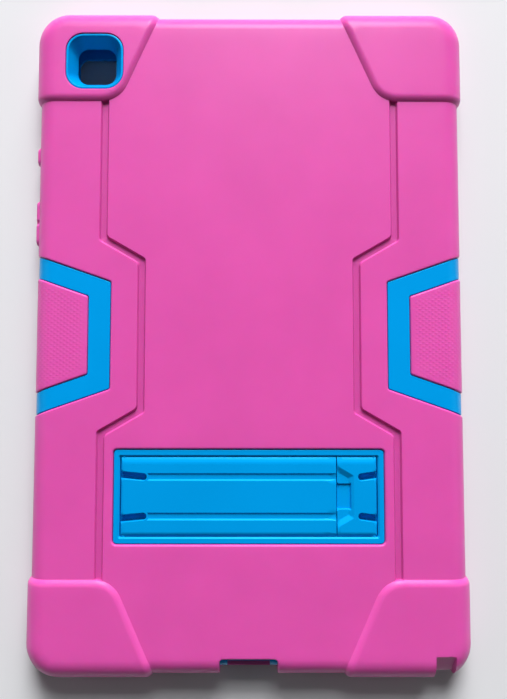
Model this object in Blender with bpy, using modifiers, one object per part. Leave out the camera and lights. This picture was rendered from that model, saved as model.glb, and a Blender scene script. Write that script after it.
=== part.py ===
"""Rugged case for a 10.4-inch tablet, modelled lying face down with its back up.

Metres, +Z up. X runs across the case, Y along it and Z through its thickness. The corner
bumpers rest on z = 0 and the origin lies under the middle of the case. A rubber skin wraps
a hard shell and the frame that closes its front, and two leaves hinged in the shell's tray
open upwards as a stand.
"""
import math

import bmesh
import bpy
from mathutils import Matrix, Vector

# The tablet that the case is made for
TABLET_WIDTH = 0.1574
TABLET_LENGTH = 0.2476
TABLET_THICKNESS = 0.0070
TABLET_CORNER_RADIUS = 0.0070
TABLET_FIT = 0.0002

# Walls and the gap between pieces that touch
SEAT_GAP = 0.0003
SHELL_WALL = 0.0016
SHELL_PLATE = 0.0015
SKIN_WALL = 0.0025
SKIN_PLATE = 0.0024
SKIN_LIP = 0.0012
LIP_REACH = 0.0050
FRAME_PLATE = 0.0013
FRAME_BORDER = 0.0110
BACK_EDGE_RADIUS = 0.0070
FRONT_EDGE_RADIUS = 0.0026

# Corner bumpers of the skin, with how far they reach in along the sides and the ends
BUMPER_FRONT_RISE = 0.0006
BUMPER_BACK_RISE = 0.0012
BUMPER_SIDE_RISE = 0.0015
BUMPER_LENGTH = 0.0378
BUMPER_WIDTH = 0.0338
BUMPER_TURN_RADIUS = 0.0090
BUMPER_DIAGONAL_ANGLE = math.radians(114.2)
BUMPER_SHOULDER = 0.0010

# Sunken lines along the back of the skin: their outer and inner runs lie at these
# distances in from the sides, and bend at these distances from the middle
GROOVE_WIDTH = 0.0030
GROOVE_DEPTH = 0.0009
GROOVE_OUTER_INSET = 0.02675
GROOVE_OUTER_BEND_Y = 0.0376
GROOVE_INNER_INSET = 0.0418
GROOVE_INNER_BEND_Y = 0.0289

# Bands of the shell that show through the skin at both sides, round a grip pad
BAND_REACH = 0.0300
BAND_HALF_LENGTH = 0.0207
BAND_WIDTH = 0.0088
PAD_HALF_LENGTH = 0.0151
BAND_SLOPE = 0.35
BAND_SINK = 0.0004
BAND_FOOT_Z = 0.0060
PAD_CORNER_RADIUS = 0.0010

# Tray of the stand, in the back of the shell, measured from the lower end
TRAY_END_DISTANCE = 0.0670
TRAY_HALF_X = 0.0512
TRAY_HALF_Y = 0.0175
TRAY_BORDER_X = 0.0022
TRAY_BORDER_Y = 0.0024
TRAY_CORNER_RADIUS = 0.0012
TRAY_SINK = 0.0003
TRAY_FLOOR = 0.0011

# Leaves of the stand
LEAF_THICKNESS = 0.0023
LEAF_SPLIT_X = 0.03335
LEAF_END_GAP = 0.00035
LEAF_CHAMFER_WIDTH = 0.0018
LEAF_CHAMFER_DEPTH = 0.0007
PIN_RADIUS = 0.0007
PIN_REACH = 0.0011
PIN_PLAY = 0.00025
PIN_BORE_DEPTH = 0.0014
SLOT_WIDTH = 0.0021
SLOT_ROOT_Y = 0.0074
SLOT_MOUTH_Y = 0.0082
LONG_SLOT_LENGTH = 0.0098
SHORT_SLOT_LENGTH = 0.0071
CHANNEL_WIDTH = 0.0024
CHANNEL_DEPTH = 0.0005
SCOOP_DEPTH = 0.0008
SCOOP_LENGTH = 0.0060
SCOOP_HALF_MOUTH = 0.0116
SCOOP_HALF_ROOT = 0.0078
SCOOP_POCKET_HALF = 0.0050
SCOOP_POCKET_LENGTH = 0.0053
SCOOP_POCKET_DEPTH = 0.0016

# Window for the rear camera, a funnel of the shell inside a hole of the skin
CAMERA_SIDE_DISTANCE = 0.0179
CAMERA_END_DISTANCE = 0.0159
CAMERA_HOLE_HALF_X = 0.01135
CAMERA_HOLE_HALF_Y = 0.01125
CAMERA_HOLE_RADIUS = 0.0069
CAMERA_INNER_HALF_X = 0.0076
CAMERA_INNER_HALF_Y = 0.0073
CAMERA_RIM = 0.0008
CAMERA_SINK = 0.0003

# Openings in the end walls
PORT_HALF_X = 0.0109
PORT_SILL = 0.0020
PORT_CORNER_RADIUS = 0.0015
PORT_SHELL_HALF_X = 0.0081
PORT_SHELL_DEPTH = 0.0029
JACK_SIDE_DISTANCE = 0.0051
JACK_NOTCH_HALF_X = 0.0039
JACK_NOTCH_LENGTH = 0.0101
JACK_NOTCH_DROP = 0.0052
JACK_NOTCH_SILL = 0.0030
JACK_MEMBRANE = 0.0008
JACK_RADIUS = 0.0032
SPEAKER_X = 0.0235
SPEAKER_HALF_LENGTH = 0.0088
SPEAKER_HALF_HEIGHT = 0.0012
SPEAKER_MARGIN = 0.0005

# Buttons moulded in the skin of the left wall, measured from the upper end
POWER_BUTTON_DISTANCE = 0.05185
POWER_BUTTON_HALF_LENGTH = 0.00405
VOLUME_UP_DISTANCE = 0.0738
VOLUME_DOWN_DISTANCE = 0.0838
VOLUME_HALF_LENGTH = 0.0043
VOLUME_WAIST_HALF = 0.0016
BUTTON_HALF_HEIGHT = 0.0026
BUTTON_RISE = 0.0012
BUTTON_EDGE_RADIUS = 0.0010
BUTTON_SLOT_MARGIN = 0.0012
BUTTON_NUB_HALF_HEIGHT = 0.0011
BUTTON_NUB_REACH = 0.0014

# Front camera notch in the frame's left border
FRONT_CAMERA_HALF_LENGTH = 0.0060
FRONT_CAMERA_DEPTH = 0.0042

# Joint between the shell and the frame, half of the wall each
LAP_OVERLAP = 0.0009

# Facets
CORNER_STEPS = 8
EDGE_STEPS = 6
FRONT_STEPS = 3
ARC_STEP = math.radians(15.0)
BEYOND = 0.0200
EMBED = 0.0010
TOLERANCE = 0.000001

# Heights through the case, from its front to its back
BODY_FRONT_Z = BUMPER_FRONT_RISE
LIP_TOP_Z = BODY_FRONT_Z + SKIN_LIP
FRAME_FRONT_Z = LIP_TOP_Z + SEAT_GAP
FRAME_BACK_Z = FRAME_FRONT_Z + FRAME_PLATE
POCKET_BACK_Z = FRAME_BACK_Z + TABLET_THICKNESS + TABLET_FIT
SHELL_BACK_Z = POCKET_BACK_Z + SHELL_PLATE
SKIN_INNER_Z = SHELL_BACK_Z + SEAT_GAP
BODY_BACK_Z = SKIN_INNER_Z + SKIN_PLATE
BUMPER_BACK_Z = BODY_BACK_Z + BUMPER_BACK_RISE
TABLET_MIDDLE_Z = FRAME_BACK_Z + (TABLET_THICKNESS + TABLET_FIT) / 2

# Half widths and half lengths, from the tablet outwards
POCKET_X = TABLET_WIDTH / 2 + TABLET_FIT
POCKET_Y = TABLET_LENGTH / 2 + TABLET_FIT
SHELL_X = POCKET_X + SHELL_WALL
SHELL_Y = POCKET_Y + SHELL_WALL
SKIN_INNER_X = SHELL_X + SEAT_GAP
SKIN_INNER_Y = SHELL_Y + SEAT_GAP
BODY_X = SKIN_INNER_X + SKIN_WALL
BODY_Y = SKIN_INNER_Y + SKIN_WALL
BUMPER_X = BODY_X + BUMPER_SIDE_RISE
BUMPER_Y = BODY_Y + BUMPER_SIDE_RISE

# Places that keep their distance from the sides and the ends
BUMPER_STEP_Y = BUMPER_Y - BUMPER_LENGTH
BUMPER_CORNER_X = BUMPER_X - BUMPER_WIDTH
GROOVE_OUTER = (BODY_X - GROOVE_OUTER_INSET, GROOVE_OUTER_BEND_Y)
GROOVE_INNER = (BODY_X - GROOVE_INNER_INSET, GROOVE_INNER_BEND_Y)
BAND_INNER_X = BODY_X - BAND_REACH
TRAY_CENTRE_Y = TRAY_END_DISTANCE - BODY_Y
CAMERA_X = CAMERA_SIDE_DISTANCE - TABLET_WIDTH / 2
CAMERA_Y = TABLET_LENGTH / 2 - CAMERA_END_DISTANCE
PORT_START_Y = BODY_Y - BACK_EDGE_RADIUS
PORT_SHELL_START_Y = SHELL_Y - PORT_SHELL_DEPTH
PORT_SILL_Z = BODY_FRONT_Z + PORT_SILL
JACK_X = TABLET_WIDTH / 2 - JACK_SIDE_DISTANCE
JACK_NOTCH_START_Y = BUMPER_Y - JACK_NOTCH_LENGTH
JACK_NOTCH_SLOPE_Z = BUMPER_BACK_Z - JACK_NOTCH_DROP
POWER_BUTTON = (TABLET_LENGTH / 2 - POWER_BUTTON_DISTANCE, POWER_BUTTON_HALF_LENGTH)
VOLUME_UP_BUTTON = (TABLET_LENGTH / 2 - VOLUME_UP_DISTANCE, VOLUME_HALF_LENGTH)
VOLUME_DOWN_BUTTON = (TABLET_LENGTH / 2 - VOLUME_DOWN_DISTANCE, VOLUME_HALF_LENGTH)

# Plan corner radii and back edge radii that keep each wall even
POCKET_CORNER = TABLET_CORNER_RADIUS + TABLET_FIT
SHELL_CORNER = POCKET_CORNER + SHELL_WALL
SKIN_INNER_CORNER = SHELL_CORNER + SEAT_GAP
BODY_CORNER = SKIN_INNER_CORNER + SKIN_WALL
BUMPER_CORNER = BODY_CORNER + BUMPER_SIDE_RISE
SKIN_INNER_EDGE = BACK_EDGE_RADIUS - SKIN_WALL
SHELL_EDGE = SKIN_INNER_EDGE - SEAT_GAP
POCKET_EDGE = SHELL_EDGE - SHELL_WALL
BUMPER_EDGE = BACK_EDGE_RADIUS + (BUMPER_SIDE_RISE + BUMPER_BACK_RISE) / 2

# Seats of the frame and the shell on each other
LAP_THICKNESS = (SHELL_WALL - SEAT_GAP) / 2
TONGUE_FRONT_Z = FRAME_BACK_Z + SEAT_GAP
SKIRT_BACK_Z = TONGUE_FRONT_Z + LAP_OVERLAP
SHELL_FRONT_Z = SKIRT_BACK_Z + SEAT_GAP

# Stand: the recess, the leaves in it and their hinge lines
RECESS_HALF_X = TRAY_HALF_X - TRAY_BORDER_X
RECESS_HALF_Y = TRAY_HALF_Y - TRAY_BORDER_Y
TRAY_TOP_Z = BODY_BACK_Z - TRAY_SINK
RECESS_FLOOR_Z = POCKET_BACK_Z + TRAY_FLOOR
LEAF_FRONT_Z = RECESS_FLOOR_Z + SEAT_GAP
LEAF_BACK_Z = LEAF_FRONT_Z + LEAF_THICKNESS
LEAF_HALF_Y = RECESS_HALF_Y - SEAT_GAP
HINGE_RADIUS = LEAF_THICKNESS / 2
HINGE_Z = LEAF_FRONT_Z + HINGE_RADIUS
HINGE_X = RECESS_HALF_X - LEAF_END_GAP - HINGE_RADIUS
LONG_LEAF_END_X = LEAF_SPLIT_X - SEAT_GAP / 2
SHORT_LEAF_END_X = LEAF_SPLIT_X + SEAT_GAP / 2


def clear_scene():
    """Remove every object that the file opened with."""
    for item in list(bpy.data.objects):
        bpy.data.objects.remove(item, do_unlink=True)


def new_collection(name):
    """Add a collection to the scene."""
    group = bpy.data.collections.new(name)
    bpy.context.scene.collection.children.link(group)
    return group


def srgb_colour(red, green, blue):
    """Turn a colour of 0 to 255 a channel into Blender's linear values."""
    def linear(channel):
        share = channel / 255
        return share / 12.92 if share <= 0.04045 else ((share + 0.055) / 1.055) ** 2.4
    return (linear(red), linear(green), linear(blue), 1.0)


def plain_material(name, colour, roughness, metallic=0.0):
    """Make a Principled material of one colour."""
    material = bpy.data.materials.new(name)
    material.use_nodes = True
    shader = material.node_tree.nodes["Principled BSDF"]
    shader.inputs["Base Color"].default_value = colour
    shader.inputs["Roughness"].default_value = roughness
    shader.inputs["Metallic"].default_value = metallic
    material.diffuse_color = colour
    return material


def pink_rubber():
    """Soft silicone with a dull surface."""
    return plain_material("pink_rubber", srgb_colour(228, 78, 160), 0.55)


def blue_plastic(name):
    """Hard plastic with a slight sheen."""
    return plain_material(name, srgb_colour(0, 150, 224), 0.38)


def tool_object(name, mesh):
    """Put a mesh in the scene as a cutter, which is drawn as wire and not rendered."""
    tool = bpy.data.objects.new(name, mesh)
    bpy.data.collections["cutters"].objects.link(tool)
    tool.display_type = "WIRE"
    tool.hide_render = True
    return tool


def part_object(name, mesh, material):
    """Put a mesh in the case's own collection with its material."""
    part = bpy.data.objects.new(name, mesh)
    bpy.data.collections["rugged_tablet_case"].objects.link(part)
    mesh.materials.clear()
    mesh.materials.append(material)
    return part


def offset_points(points, distance, closed=True):
    """Shift a line of points to its left by a distance, with mitred corners."""
    corners = [Vector(point) for point in points]
    count = len(corners)
    shifted = []
    for index, corner in enumerate(corners):
        before = corners[index - 1] if closed or index > 0 else None
        after = corners[(index + 1) % count] if closed or index < count - 1 else None
        incoming = (corner - before).normalized() if before is not None else None
        outgoing = (after - corner).normalized() if after is not None else None
        first = incoming if incoming is not None else outgoing
        second = outgoing if outgoing is not None else incoming
        left = Vector((-first.y - second.y, first.x + second.x)).normalized()
        stretch = left.dot(Vector((-first.y, first.x)))
        shifted.append(corner + left * (distance / stretch))
    return [tuple(point) for point in shifted]


def strip_outline(centre_line, width):
    """Outline of a strip of even width along an open line."""
    left = offset_points(centre_line, width / 2, closed=False)
    right = offset_points(centre_line, -width / 2, closed=False)
    return right + left[::-1]


def rounded_outline(points, radii):
    """Replace each corner of an outline by an arc of its own radius; 0 keeps it sharp."""
    corners = [Vector(point) for point in points]
    outline = []
    for index, corner in enumerate(corners):
        radius = radii[index]
        towards = (corners[index - 1] - corner).normalized()
        away = (corners[(index + 1) % len(corners)] - corner).normalized()
        if radius < TOLERANCE:
            outline.append(tuple(corner))
            continue
        half_angle = towards.angle(away) / 2
        centre = corner + (towards + away).normalized() * (radius / math.sin(half_angle))
        start = corner + towards * (radius / math.tan(half_angle)) - centre
        turn = math.pi - 2 * half_angle
        sense = 1.0 if towards.cross(away) < 0 else -1.0
        steps = max(2, round(turn / ARC_STEP))
        for step in range(steps + 1):
            swing = Matrix.Rotation(sense * turn * step / steps, 2)
            outline.append(tuple(centre + swing @ start))
    return outline


def rectangle(centre_x, centre_y, half_x, half_y, radius=0.0):
    """Outline of a rectangle with rounded corners, anticlockwise."""
    corners = [(centre_x - half_x, centre_y - half_y), (centre_x + half_x, centre_y - half_y),
               (centre_x + half_x, centre_y + half_y), (centre_x - half_x, centre_y + half_y)]
    return rounded_outline(corners, [radius] * 4)


def mirrored(outline, flip_x=False, flip_y=False):
    """The same outline on the other side of the middle plane, still anticlockwise."""
    sign_x = -1.0 if flip_x else 1.0
    sign_y = -1.0 if flip_y else 1.0
    copy = [(sign_x * x, sign_y * y) for x, y in outline]
    return copy[::-1] if flip_x != flip_y else copy


def mesh_of_curve(curve_object):
    """Turn a filled curve into a welded mesh in world space and remove the curve."""
    bpy.context.view_layer.update()
    depsgraph = bpy.context.evaluated_depsgraph_get()
    mesh = bpy.data.meshes.new_from_object(curve_object.evaluated_get(depsgraph))
    mesh.transform(curve_object.matrix_world)
    bm = bmesh.new()
    bm.from_mesh(mesh)
    bmesh.ops.remove_doubles(bm, verts=bm.verts, dist=TOLERANCE)
    bmesh.ops.recalc_face_normals(bm, faces=bm.faces)
    bm.to_mesh(mesh)
    bm.free()
    curve = curve_object.data
    bpy.data.objects.remove(curve_object, do_unlink=True)
    bpy.data.curves.remove(curve)
    return mesh


def prism_mesh(outlines, low, high, axis="Z"):
    """Extrude flat outlines between two levels of an axis.

    Outlines are (x, y) points for Z, (x, z) points for Y and (y, z) points for X.
    """
    turns = {"Z": Matrix.Identity(4),
             "Y": Matrix(((1, 0, 0, 0), (0, 0, -1, 0), (0, 1, 0, 0), (0, 0, 0, 1))),
             "X": Matrix(((0, 0, 1, 0), (1, 0, 0, 0), (0, 1, 0, 0), (0, 0, 0, 1)))}
    middle = (low + high) / 2 if axis != "Y" else -(low + high) / 2
    curve = bpy.data.curves.new("outline", "CURVE")
    curve.dimensions = "2D"
    curve.fill_mode = "BOTH"
    curve.extrude = (high - low) / 2
    for outline in outlines:
        spline = curve.splines.new("POLY")
        spline.points.add(len(outline) - 1)
        for point, (across, along) in zip(spline.points, outline):
            point.co = (across, along, 0.0, 1.0)
        spline.use_cyclic_u = True
    holder = bpy.data.objects.new("outline", curve)
    bpy.context.scene.collection.objects.link(holder)
    holder.matrix_world = turns[axis] @ Matrix.Translation((0.0, 0.0, middle))
    return mesh_of_curve(holder)


def prism_tool(name, outlines, low, high, axis="Z"):
    """A cutter made of extruded outlines."""
    return tool_object(name, prism_mesh(outlines, low, high, axis))


def cylinder_tool(name, radius, start, end):
    """A cutter or pin: a round bar between two points along Y."""
    bm = bmesh.new()
    length = end[1] - start[1]
    middle = (Vector(start) + Vector(end)) / 2
    place = Matrix.Translation(middle) @ Matrix.Rotation(math.pi / 2, 4, "X")
    bmesh.ops.create_cone(bm, cap_ends=True, segments=20, radius1=radius, radius2=radius,
                          depth=length, matrix=place)
    mesh = bpy.data.meshes.new(name)
    bm.to_mesh(mesh)
    bm.free()
    return tool_object(name, mesh)


def round_level(bm, level, radius, steps):
    """Round the loop of edges that lies at one height."""
    loop = [edge for edge in bm.edges
            if all(abs(vertex.co.z - level) < TOLERANCE for vertex in edge.verts)]
    bmesh.ops.bevel(bm, geom=loop, offset=radius, offset_type="OFFSET", segments=steps,
                    profile=0.5, affect="EDGES", clamp_overlap=False)


def block_mesh(name, half_x, half_y, low, high, corner, back=0.0, front=0.0):
    """A block with rounded upright corners and, where asked, rounded back and front edges."""
    bm = bmesh.new()
    bmesh.ops.create_cube(bm, size=1.0)
    bmesh.ops.scale(bm, vec=(2 * half_x, 2 * half_y, high - low), verts=bm.verts)
    bmesh.ops.translate(bm, vec=(0.0, 0.0, (low + high) / 2), verts=bm.verts)
    upright = [edge for edge in bm.edges
               if abs(edge.verts[0].co.z - edge.verts[1].co.z) > TOLERANCE]
    bmesh.ops.bevel(bm, geom=upright, offset=corner, offset_type="OFFSET",
                    segments=CORNER_STEPS, profile=0.5, affect="EDGES", clamp_overlap=False)
    if back > 0:
        round_level(bm, high, back, EDGE_STEPS)
    if front > 0:
        round_level(bm, low, front, FRONT_STEPS)
    mesh = bpy.data.meshes.new(name)
    bm.to_mesh(mesh)
    bm.free()
    return mesh


def boolean(target, tool, operation):
    """Add a Boolean step with the exact solver."""
    step = target.modifiers.new(tool.name, "BOOLEAN")
    step.object = tool
    step.operation = operation
    step.solver = "EXACT"


def cut(target, *tools):
    """Take each tool away from the target."""
    for tool in tools:
        boolean(target, tool, "DIFFERENCE")


def join(target, *tools):
    """Fuse each tool with the target."""
    for tool in tools:
        boolean(target, tool, "UNION")


def keep(target, tool):
    """Keep only what the target shares with the tool."""
    boolean(target, tool, "INTERSECT")


def soften(target, width, steps, angle=math.radians(50)):
    """Round the sharp edges of a solid."""
    step = target.modifiers.new("soften", "BEVEL")
    step.width = width
    step.segments = steps
    step.limit_method = "ANGLE"
    step.angle_limit = angle
    step.use_clamp_overlap = True


def set_origin(part, origin):
    """Move the part's origin to a point while its shape stays in place."""
    part.data.transform(Matrix.Translation(-Vector(origin)))
    part.location = origin


def bumper_outline():
    """Plan of one corner bumper, at +X and +Y."""
    reach_y = BUMPER_Y + BEYOND - BUMPER_STEP_Y
    far_x = BUMPER_CORNER_X + reach_y / math.tan(BUMPER_DIAGONAL_ANGLE)
    points = [(BUMPER_CORNER_X, BUMPER_STEP_Y), (BUMPER_X + BEYOND, BUMPER_STEP_Y),
              (BUMPER_X + BEYOND, BUMPER_Y + BEYOND), (far_x, BUMPER_Y + BEYOND)]
    return rounded_outline(points, [BUMPER_TURN_RADIUS, 0.0, 0.0, 0.0])


def four_corners(outline):
    """The outline in each of the four quarters."""
    return [mirrored(outline, flip_x, flip_y) for flip_x in (False, True)
            for flip_y in (False, True)]


def groove_outline():
    """Sunken line on the +X half of the back, from one bumper to the other."""
    end_y = BUMPER_STEP_Y + GROOVE_WIDTH
    centre_line = [(GROOVE_OUTER[0], -end_y), (GROOVE_OUTER[0], -GROOVE_OUTER[1]),
                   (GROOVE_INNER[0], -GROOVE_INNER[1]), GROOVE_INNER, GROOVE_OUTER,
                   (GROOVE_OUTER[0], end_y)]
    return strip_outline(centre_line, GROOVE_WIDTH)


def band_outline(inset=0.0):
    """C-shaped band at +X, round the grip pad; the inset makes it narrower all round."""
    far_x = BODY_X + BEYOND
    pad_x = BAND_INNER_X + BAND_WIDTH
    outer_y = BAND_HALF_LENGTH + BAND_SLOPE * (far_x - BAND_INNER_X)
    inner_y = PAD_HALF_LENGTH + BAND_SLOPE * (far_x - pad_x)
    points = [(BAND_INNER_X, BAND_HALF_LENGTH), (BAND_INNER_X, -BAND_HALF_LENGTH),
              (far_x, -outer_y), (far_x, -inner_y), (pad_x, -PAD_HALF_LENGTH),
              (pad_x, PAD_HALF_LENGTH), (far_x, inner_y), (far_x, outer_y)]
    corner = PAD_CORNER_RADIUS
    radii = [corner, corner, 0.0, 0.0, corner, corner, 0.0, 0.0]
    return rounded_outline(offset_points(points, inset), radii)


def tray_outline(grow=0.0):
    """Plan of the stand's tray."""
    return rectangle(0.0, TRAY_CENTRE_Y, TRAY_HALF_X + grow, TRAY_HALF_Y + grow,
                     TRAY_CORNER_RADIUS + grow)


def port_outline(half_x, start_y):
    """Plan of an opening through the lower end wall."""
    far_y = BUMPER_Y + BEYOND
    return rectangle(0.0, -(start_y + far_y) / 2, half_x, (far_y - start_y) / 2,
                     PORT_CORNER_RADIUS)


def speaker_outlines(margin):
    """Sound slots beside the middle of an end wall, as (x, z) outlines."""
    height = SPEAKER_HALF_HEIGHT + margin
    return [rectangle(side * SPEAKER_X, TABLET_MIDDLE_Z, SPEAKER_HALF_LENGTH + margin,
                      height, height - TOLERANCE * 10) for side in (-1, 1)]


def bumpers():
    """The four raised corners, cut from one larger rounded block."""
    block = tool_object("bumpers", block_mesh(
        "bumpers", BUMPER_X, BUMPER_Y, 0.0, BUMPER_BACK_Z, BUMPER_CORNER,
        back=BUMPER_EDGE, front=FRONT_EDGE_RADIUS))
    corners = prism_tool("bumper_plan", four_corners(bumper_outline()), -BEYOND, BEYOND * 2)
    keep(block, corners)
    soften(block, BUMPER_SHOULDER, 3)
    return block


def button_outlines():
    """The (y, z) outlines of the power button and of the waisted volume button."""
    radius = BUTTON_HALF_HEIGHT - TOLERANCE * 10
    power = rectangle(POWER_BUTTON[0], TABLET_MIDDLE_Z, POWER_BUTTON[1],
                      BUTTON_HALF_HEIGHT, radius)
    low_y = VOLUME_DOWN_BUTTON[0] - VOLUME_DOWN_BUTTON[1]
    high_y = VOLUME_UP_BUTTON[0] + VOLUME_UP_BUTTON[1]
    waist_y = (low_y + high_y) / 2
    waist_drop = BUTTON_HALF_HEIGHT - VOLUME_WAIST_HALF
    lower_edge = [(low_y, -BUTTON_HALF_HEIGHT), (waist_y - waist_drop, -BUTTON_HALF_HEIGHT),
                  (waist_y, -VOLUME_WAIST_HALF), (waist_y + waist_drop, -BUTTON_HALF_HEIGHT),
                  (high_y, -BUTTON_HALF_HEIGHT)]
    points = lower_edge + [(y, -z) for y, z in lower_edge[::-1]]
    fillet = waist_drop
    radii = [radius, fillet, fillet, fillet, radius] * 2
    volume = rounded_outline([(y, TABLET_MIDDLE_Z + z) for y, z in points], radii)
    return {"power": power, "volume": volume}


def button_slots():
    """Openings of the shell's left wall behind the buttons, as (y, z) outlines."""
    height = BUTTON_NUB_HALF_HEIGHT + SEAT_GAP * 2
    spans = [(POWER_BUTTON[0] - POWER_BUTTON[1], POWER_BUTTON[0] + POWER_BUTTON[1]),
             (VOLUME_DOWN_BUTTON[0] - VOLUME_DOWN_BUTTON[1],
              VOLUME_UP_BUTTON[0] + VOLUME_UP_BUTTON[1])]
    return [rectangle((low + high) / 2, TABLET_MIDDLE_Z, (high - low) / 2, height,
                      height - TOLERANCE * 10) for low, high in spans]


def button_nubs():
    """Inner posts of the buttons that press the tablet's keys, as (y, z) outlines."""
    return [rectangle(middle, TABLET_MIDDLE_Z, half - BUTTON_SLOT_MARGIN,
                      BUTTON_NUB_HALF_HEIGHT, BUTTON_NUB_HALF_HEIGHT / 2)
            for middle, half in (POWER_BUTTON, VOLUME_UP_BUTTON, VOLUME_DOWN_BUTTON)]


def jack_notch_outline():
    """Side view of the scoop in the lower right bumper, as (y, z) points."""
    wall_y = -(SKIN_INNER_Y + JACK_MEMBRANE)
    far_y = -(BUMPER_Y + BEYOND)
    return [(-JACK_NOTCH_START_Y, BUMPER_BACK_Z + BEYOND),
            (far_y, BUMPER_BACK_Z + BEYOND), (far_y, JACK_NOTCH_SILL),
            (wall_y, JACK_NOTCH_SILL), (wall_y, JACK_NOTCH_SLOPE_Z),
            (-JACK_NOTCH_START_Y, BUMPER_BACK_Z - BUMPER_BACK_RISE / 2)]


def add_buttons(skin):
    """Fuse the buttons' domes with the skin's left wall."""
    outlines = button_outlines()
    for name, outline in outlines.items():
        dome = prism_tool("button_" + name, [outline], -BODY_X - BUTTON_RISE,
                          -BODY_X + EMBED, axis="X")
        soften(dome, BUTTON_EDGE_RADIUS, 3)
        join(skin, dome)


def skin_openings():
    """Cutters for everything that goes through the skin."""
    back_low = SKIN_INNER_Z - EMBED
    tray = prism_tool("skin_tray_hole", [tray_outline(SEAT_GAP)], back_low, BEYOND)
    bands = prism_tool("skin_band_slots", [band_outline(), mirrored(band_outline(), True)],
                       BAND_FOOT_Z, BEYOND)
    camera = prism_tool("skin_camera_hole", [rectangle(
        CAMERA_X, CAMERA_Y, CAMERA_HOLE_HALF_X, CAMERA_HOLE_HALF_Y, CAMERA_HOLE_RADIUS)],
        back_low, BEYOND)
    port = prism_tool("skin_port", [port_outline(PORT_HALF_X, PORT_START_Y)],
                      PORT_SILL_Z, BEYOND)
    notch = prism_tool("skin_jack_notch", [jack_notch_outline()], JACK_X - JACK_NOTCH_HALF_X,
                       JACK_X + JACK_NOTCH_HALF_X, axis="X")
    jack = cylinder_tool("skin_jack_hole", JACK_RADIUS + SEAT_GAP,
                         (JACK_X, -BUMPER_Y - EMBED, TABLET_MIDDLE_Z),
                         (JACK_X, -POCKET_Y + EMBED, TABLET_MIDDLE_Z))
    speakers = prism_tool("skin_speaker_slots", speaker_outlines(SPEAKER_MARGIN),
                          -BUMPER_Y - EMBED, BUMPER_Y + EMBED, axis="Y")
    return tray, bands, camera, port, notch, jack, speakers


def silicone_skin():
    """Rubber skin: body, bumpers and buttons, hollowed out for the shell."""
    skin = part_object("silicone_skin", block_mesh(
        "silicone_skin", BODY_X, BODY_Y, BODY_FRONT_Z, BODY_BACK_Z, BODY_CORNER,
        back=BACK_EDGE_RADIUS, front=FRONT_EDGE_RADIUS), pink_rubber())
    grooves = prism_tool("groove_lines", [groove_outline(), mirrored(groove_outline(), True)],
                         BODY_BACK_Z - GROOVE_DEPTH, BEYOND)
    cut(skin, grooves)
    join(skin, bumpers())
    add_buttons(skin)
    hollow = tool_object("skin_hollow", block_mesh(
        "skin_hollow", SKIN_INNER_X, SKIN_INNER_Y, LIP_TOP_Z, SKIN_INNER_Z,
        SKIN_INNER_CORNER, back=SKIN_INNER_EDGE))
    window = prism_tool("skin_window", [rectangle(
        0.0, 0.0, SKIN_INNER_X - LIP_REACH, SKIN_INNER_Y - LIP_REACH,
        SKIN_INNER_CORNER - LIP_REACH)], -BEYOND, LIP_TOP_Z + EMBED)
    cut(skin, hollow, window, *skin_openings())
    nubs = prism_tool("button_nubs", button_nubs(), -SKIN_INNER_X - EMBED,
                      -SKIN_INNER_X + BUTTON_NUB_REACH, axis="X")
    join(skin, nubs)
    return skin


def band_ribs():
    """Ribs of the shell that fill the band slots of the skin."""
    ribs = tool_object("band_ribs", block_mesh(
        "band_ribs", BODY_X - BAND_SINK, BODY_Y - BAND_SINK, BAND_FOOT_Z + SEAT_GAP,
        BODY_BACK_Z - BAND_SINK, BODY_CORNER, back=BACK_EDGE_RADIUS - BAND_SINK))
    plan = prism_tool("band_plan", [band_outline(SEAT_GAP),
                                    mirrored(band_outline(SEAT_GAP), True)], -BEYOND, BEYOND)
    keep(ribs, plan)
    return ribs


def camera_funnel_hole():
    """Cutter of the camera window, wide at the back and narrow at the pocket."""
    top_half_x = CAMERA_HOLE_HALF_X - SEAT_GAP - CAMERA_RIM
    top_half_y = CAMERA_HOLE_HALF_Y - SEAT_GAP - CAMERA_RIM
    low = POCKET_BACK_Z - EMBED
    high = BUMPER_BACK_Z - CAMERA_SINK + EMBED
    mesh = prism_mesh([rectangle(0.0, 0.0, top_half_x, top_half_y,
                                 CAMERA_HOLE_RADIUS - SEAT_GAP - CAMERA_RIM)], low, high)
    for vertex in mesh.vertices:
        if vertex.co.z < (low + high) / 2:
            vertex.co.x *= CAMERA_INNER_HALF_X / top_half_x
            vertex.co.y *= CAMERA_INNER_HALF_Y / top_half_y
    mesh.transform(Matrix.Translation((CAMERA_X, CAMERA_Y, 0.0)))
    return tool_object("camera_funnel_hole", mesh)


def raised_shell_forms():
    """Tray block, band ribs, camera funnel and the tongue that enters the frame."""
    tray = prism_tool("tray_block", [tray_outline()], POCKET_BACK_Z + EMBED / 2, TRAY_TOP_Z)
    funnel = prism_tool("camera_funnel", [rectangle(
        CAMERA_X, CAMERA_Y, CAMERA_HOLE_HALF_X - SEAT_GAP, CAMERA_HOLE_HALF_Y - SEAT_GAP,
        CAMERA_HOLE_RADIUS - SEAT_GAP)], POCKET_BACK_Z + EMBED / 2,
        BUMPER_BACK_Z - CAMERA_SINK)
    tongue = tool_object("shell_tongue", block_mesh(
        "shell_tongue", POCKET_X + LAP_THICKNESS, POCKET_Y + LAP_THICKNESS, TONGUE_FRONT_Z,
        SHELL_FRONT_Z + EMBED, POCKET_CORNER + LAP_THICKNESS))
    return tongue, tray, band_ribs(), funnel


def jack_hole(name):
    """Cutter of the round headphone hole through the hard wall at the lower right corner."""
    return cylinder_tool(name, JACK_RADIUS, (JACK_X, -SHELL_Y - EMBED, TABLET_MIDDLE_Z),
                         (JACK_X, -POCKET_Y + POCKET_CORNER, TABLET_MIDDLE_Z))


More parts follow.
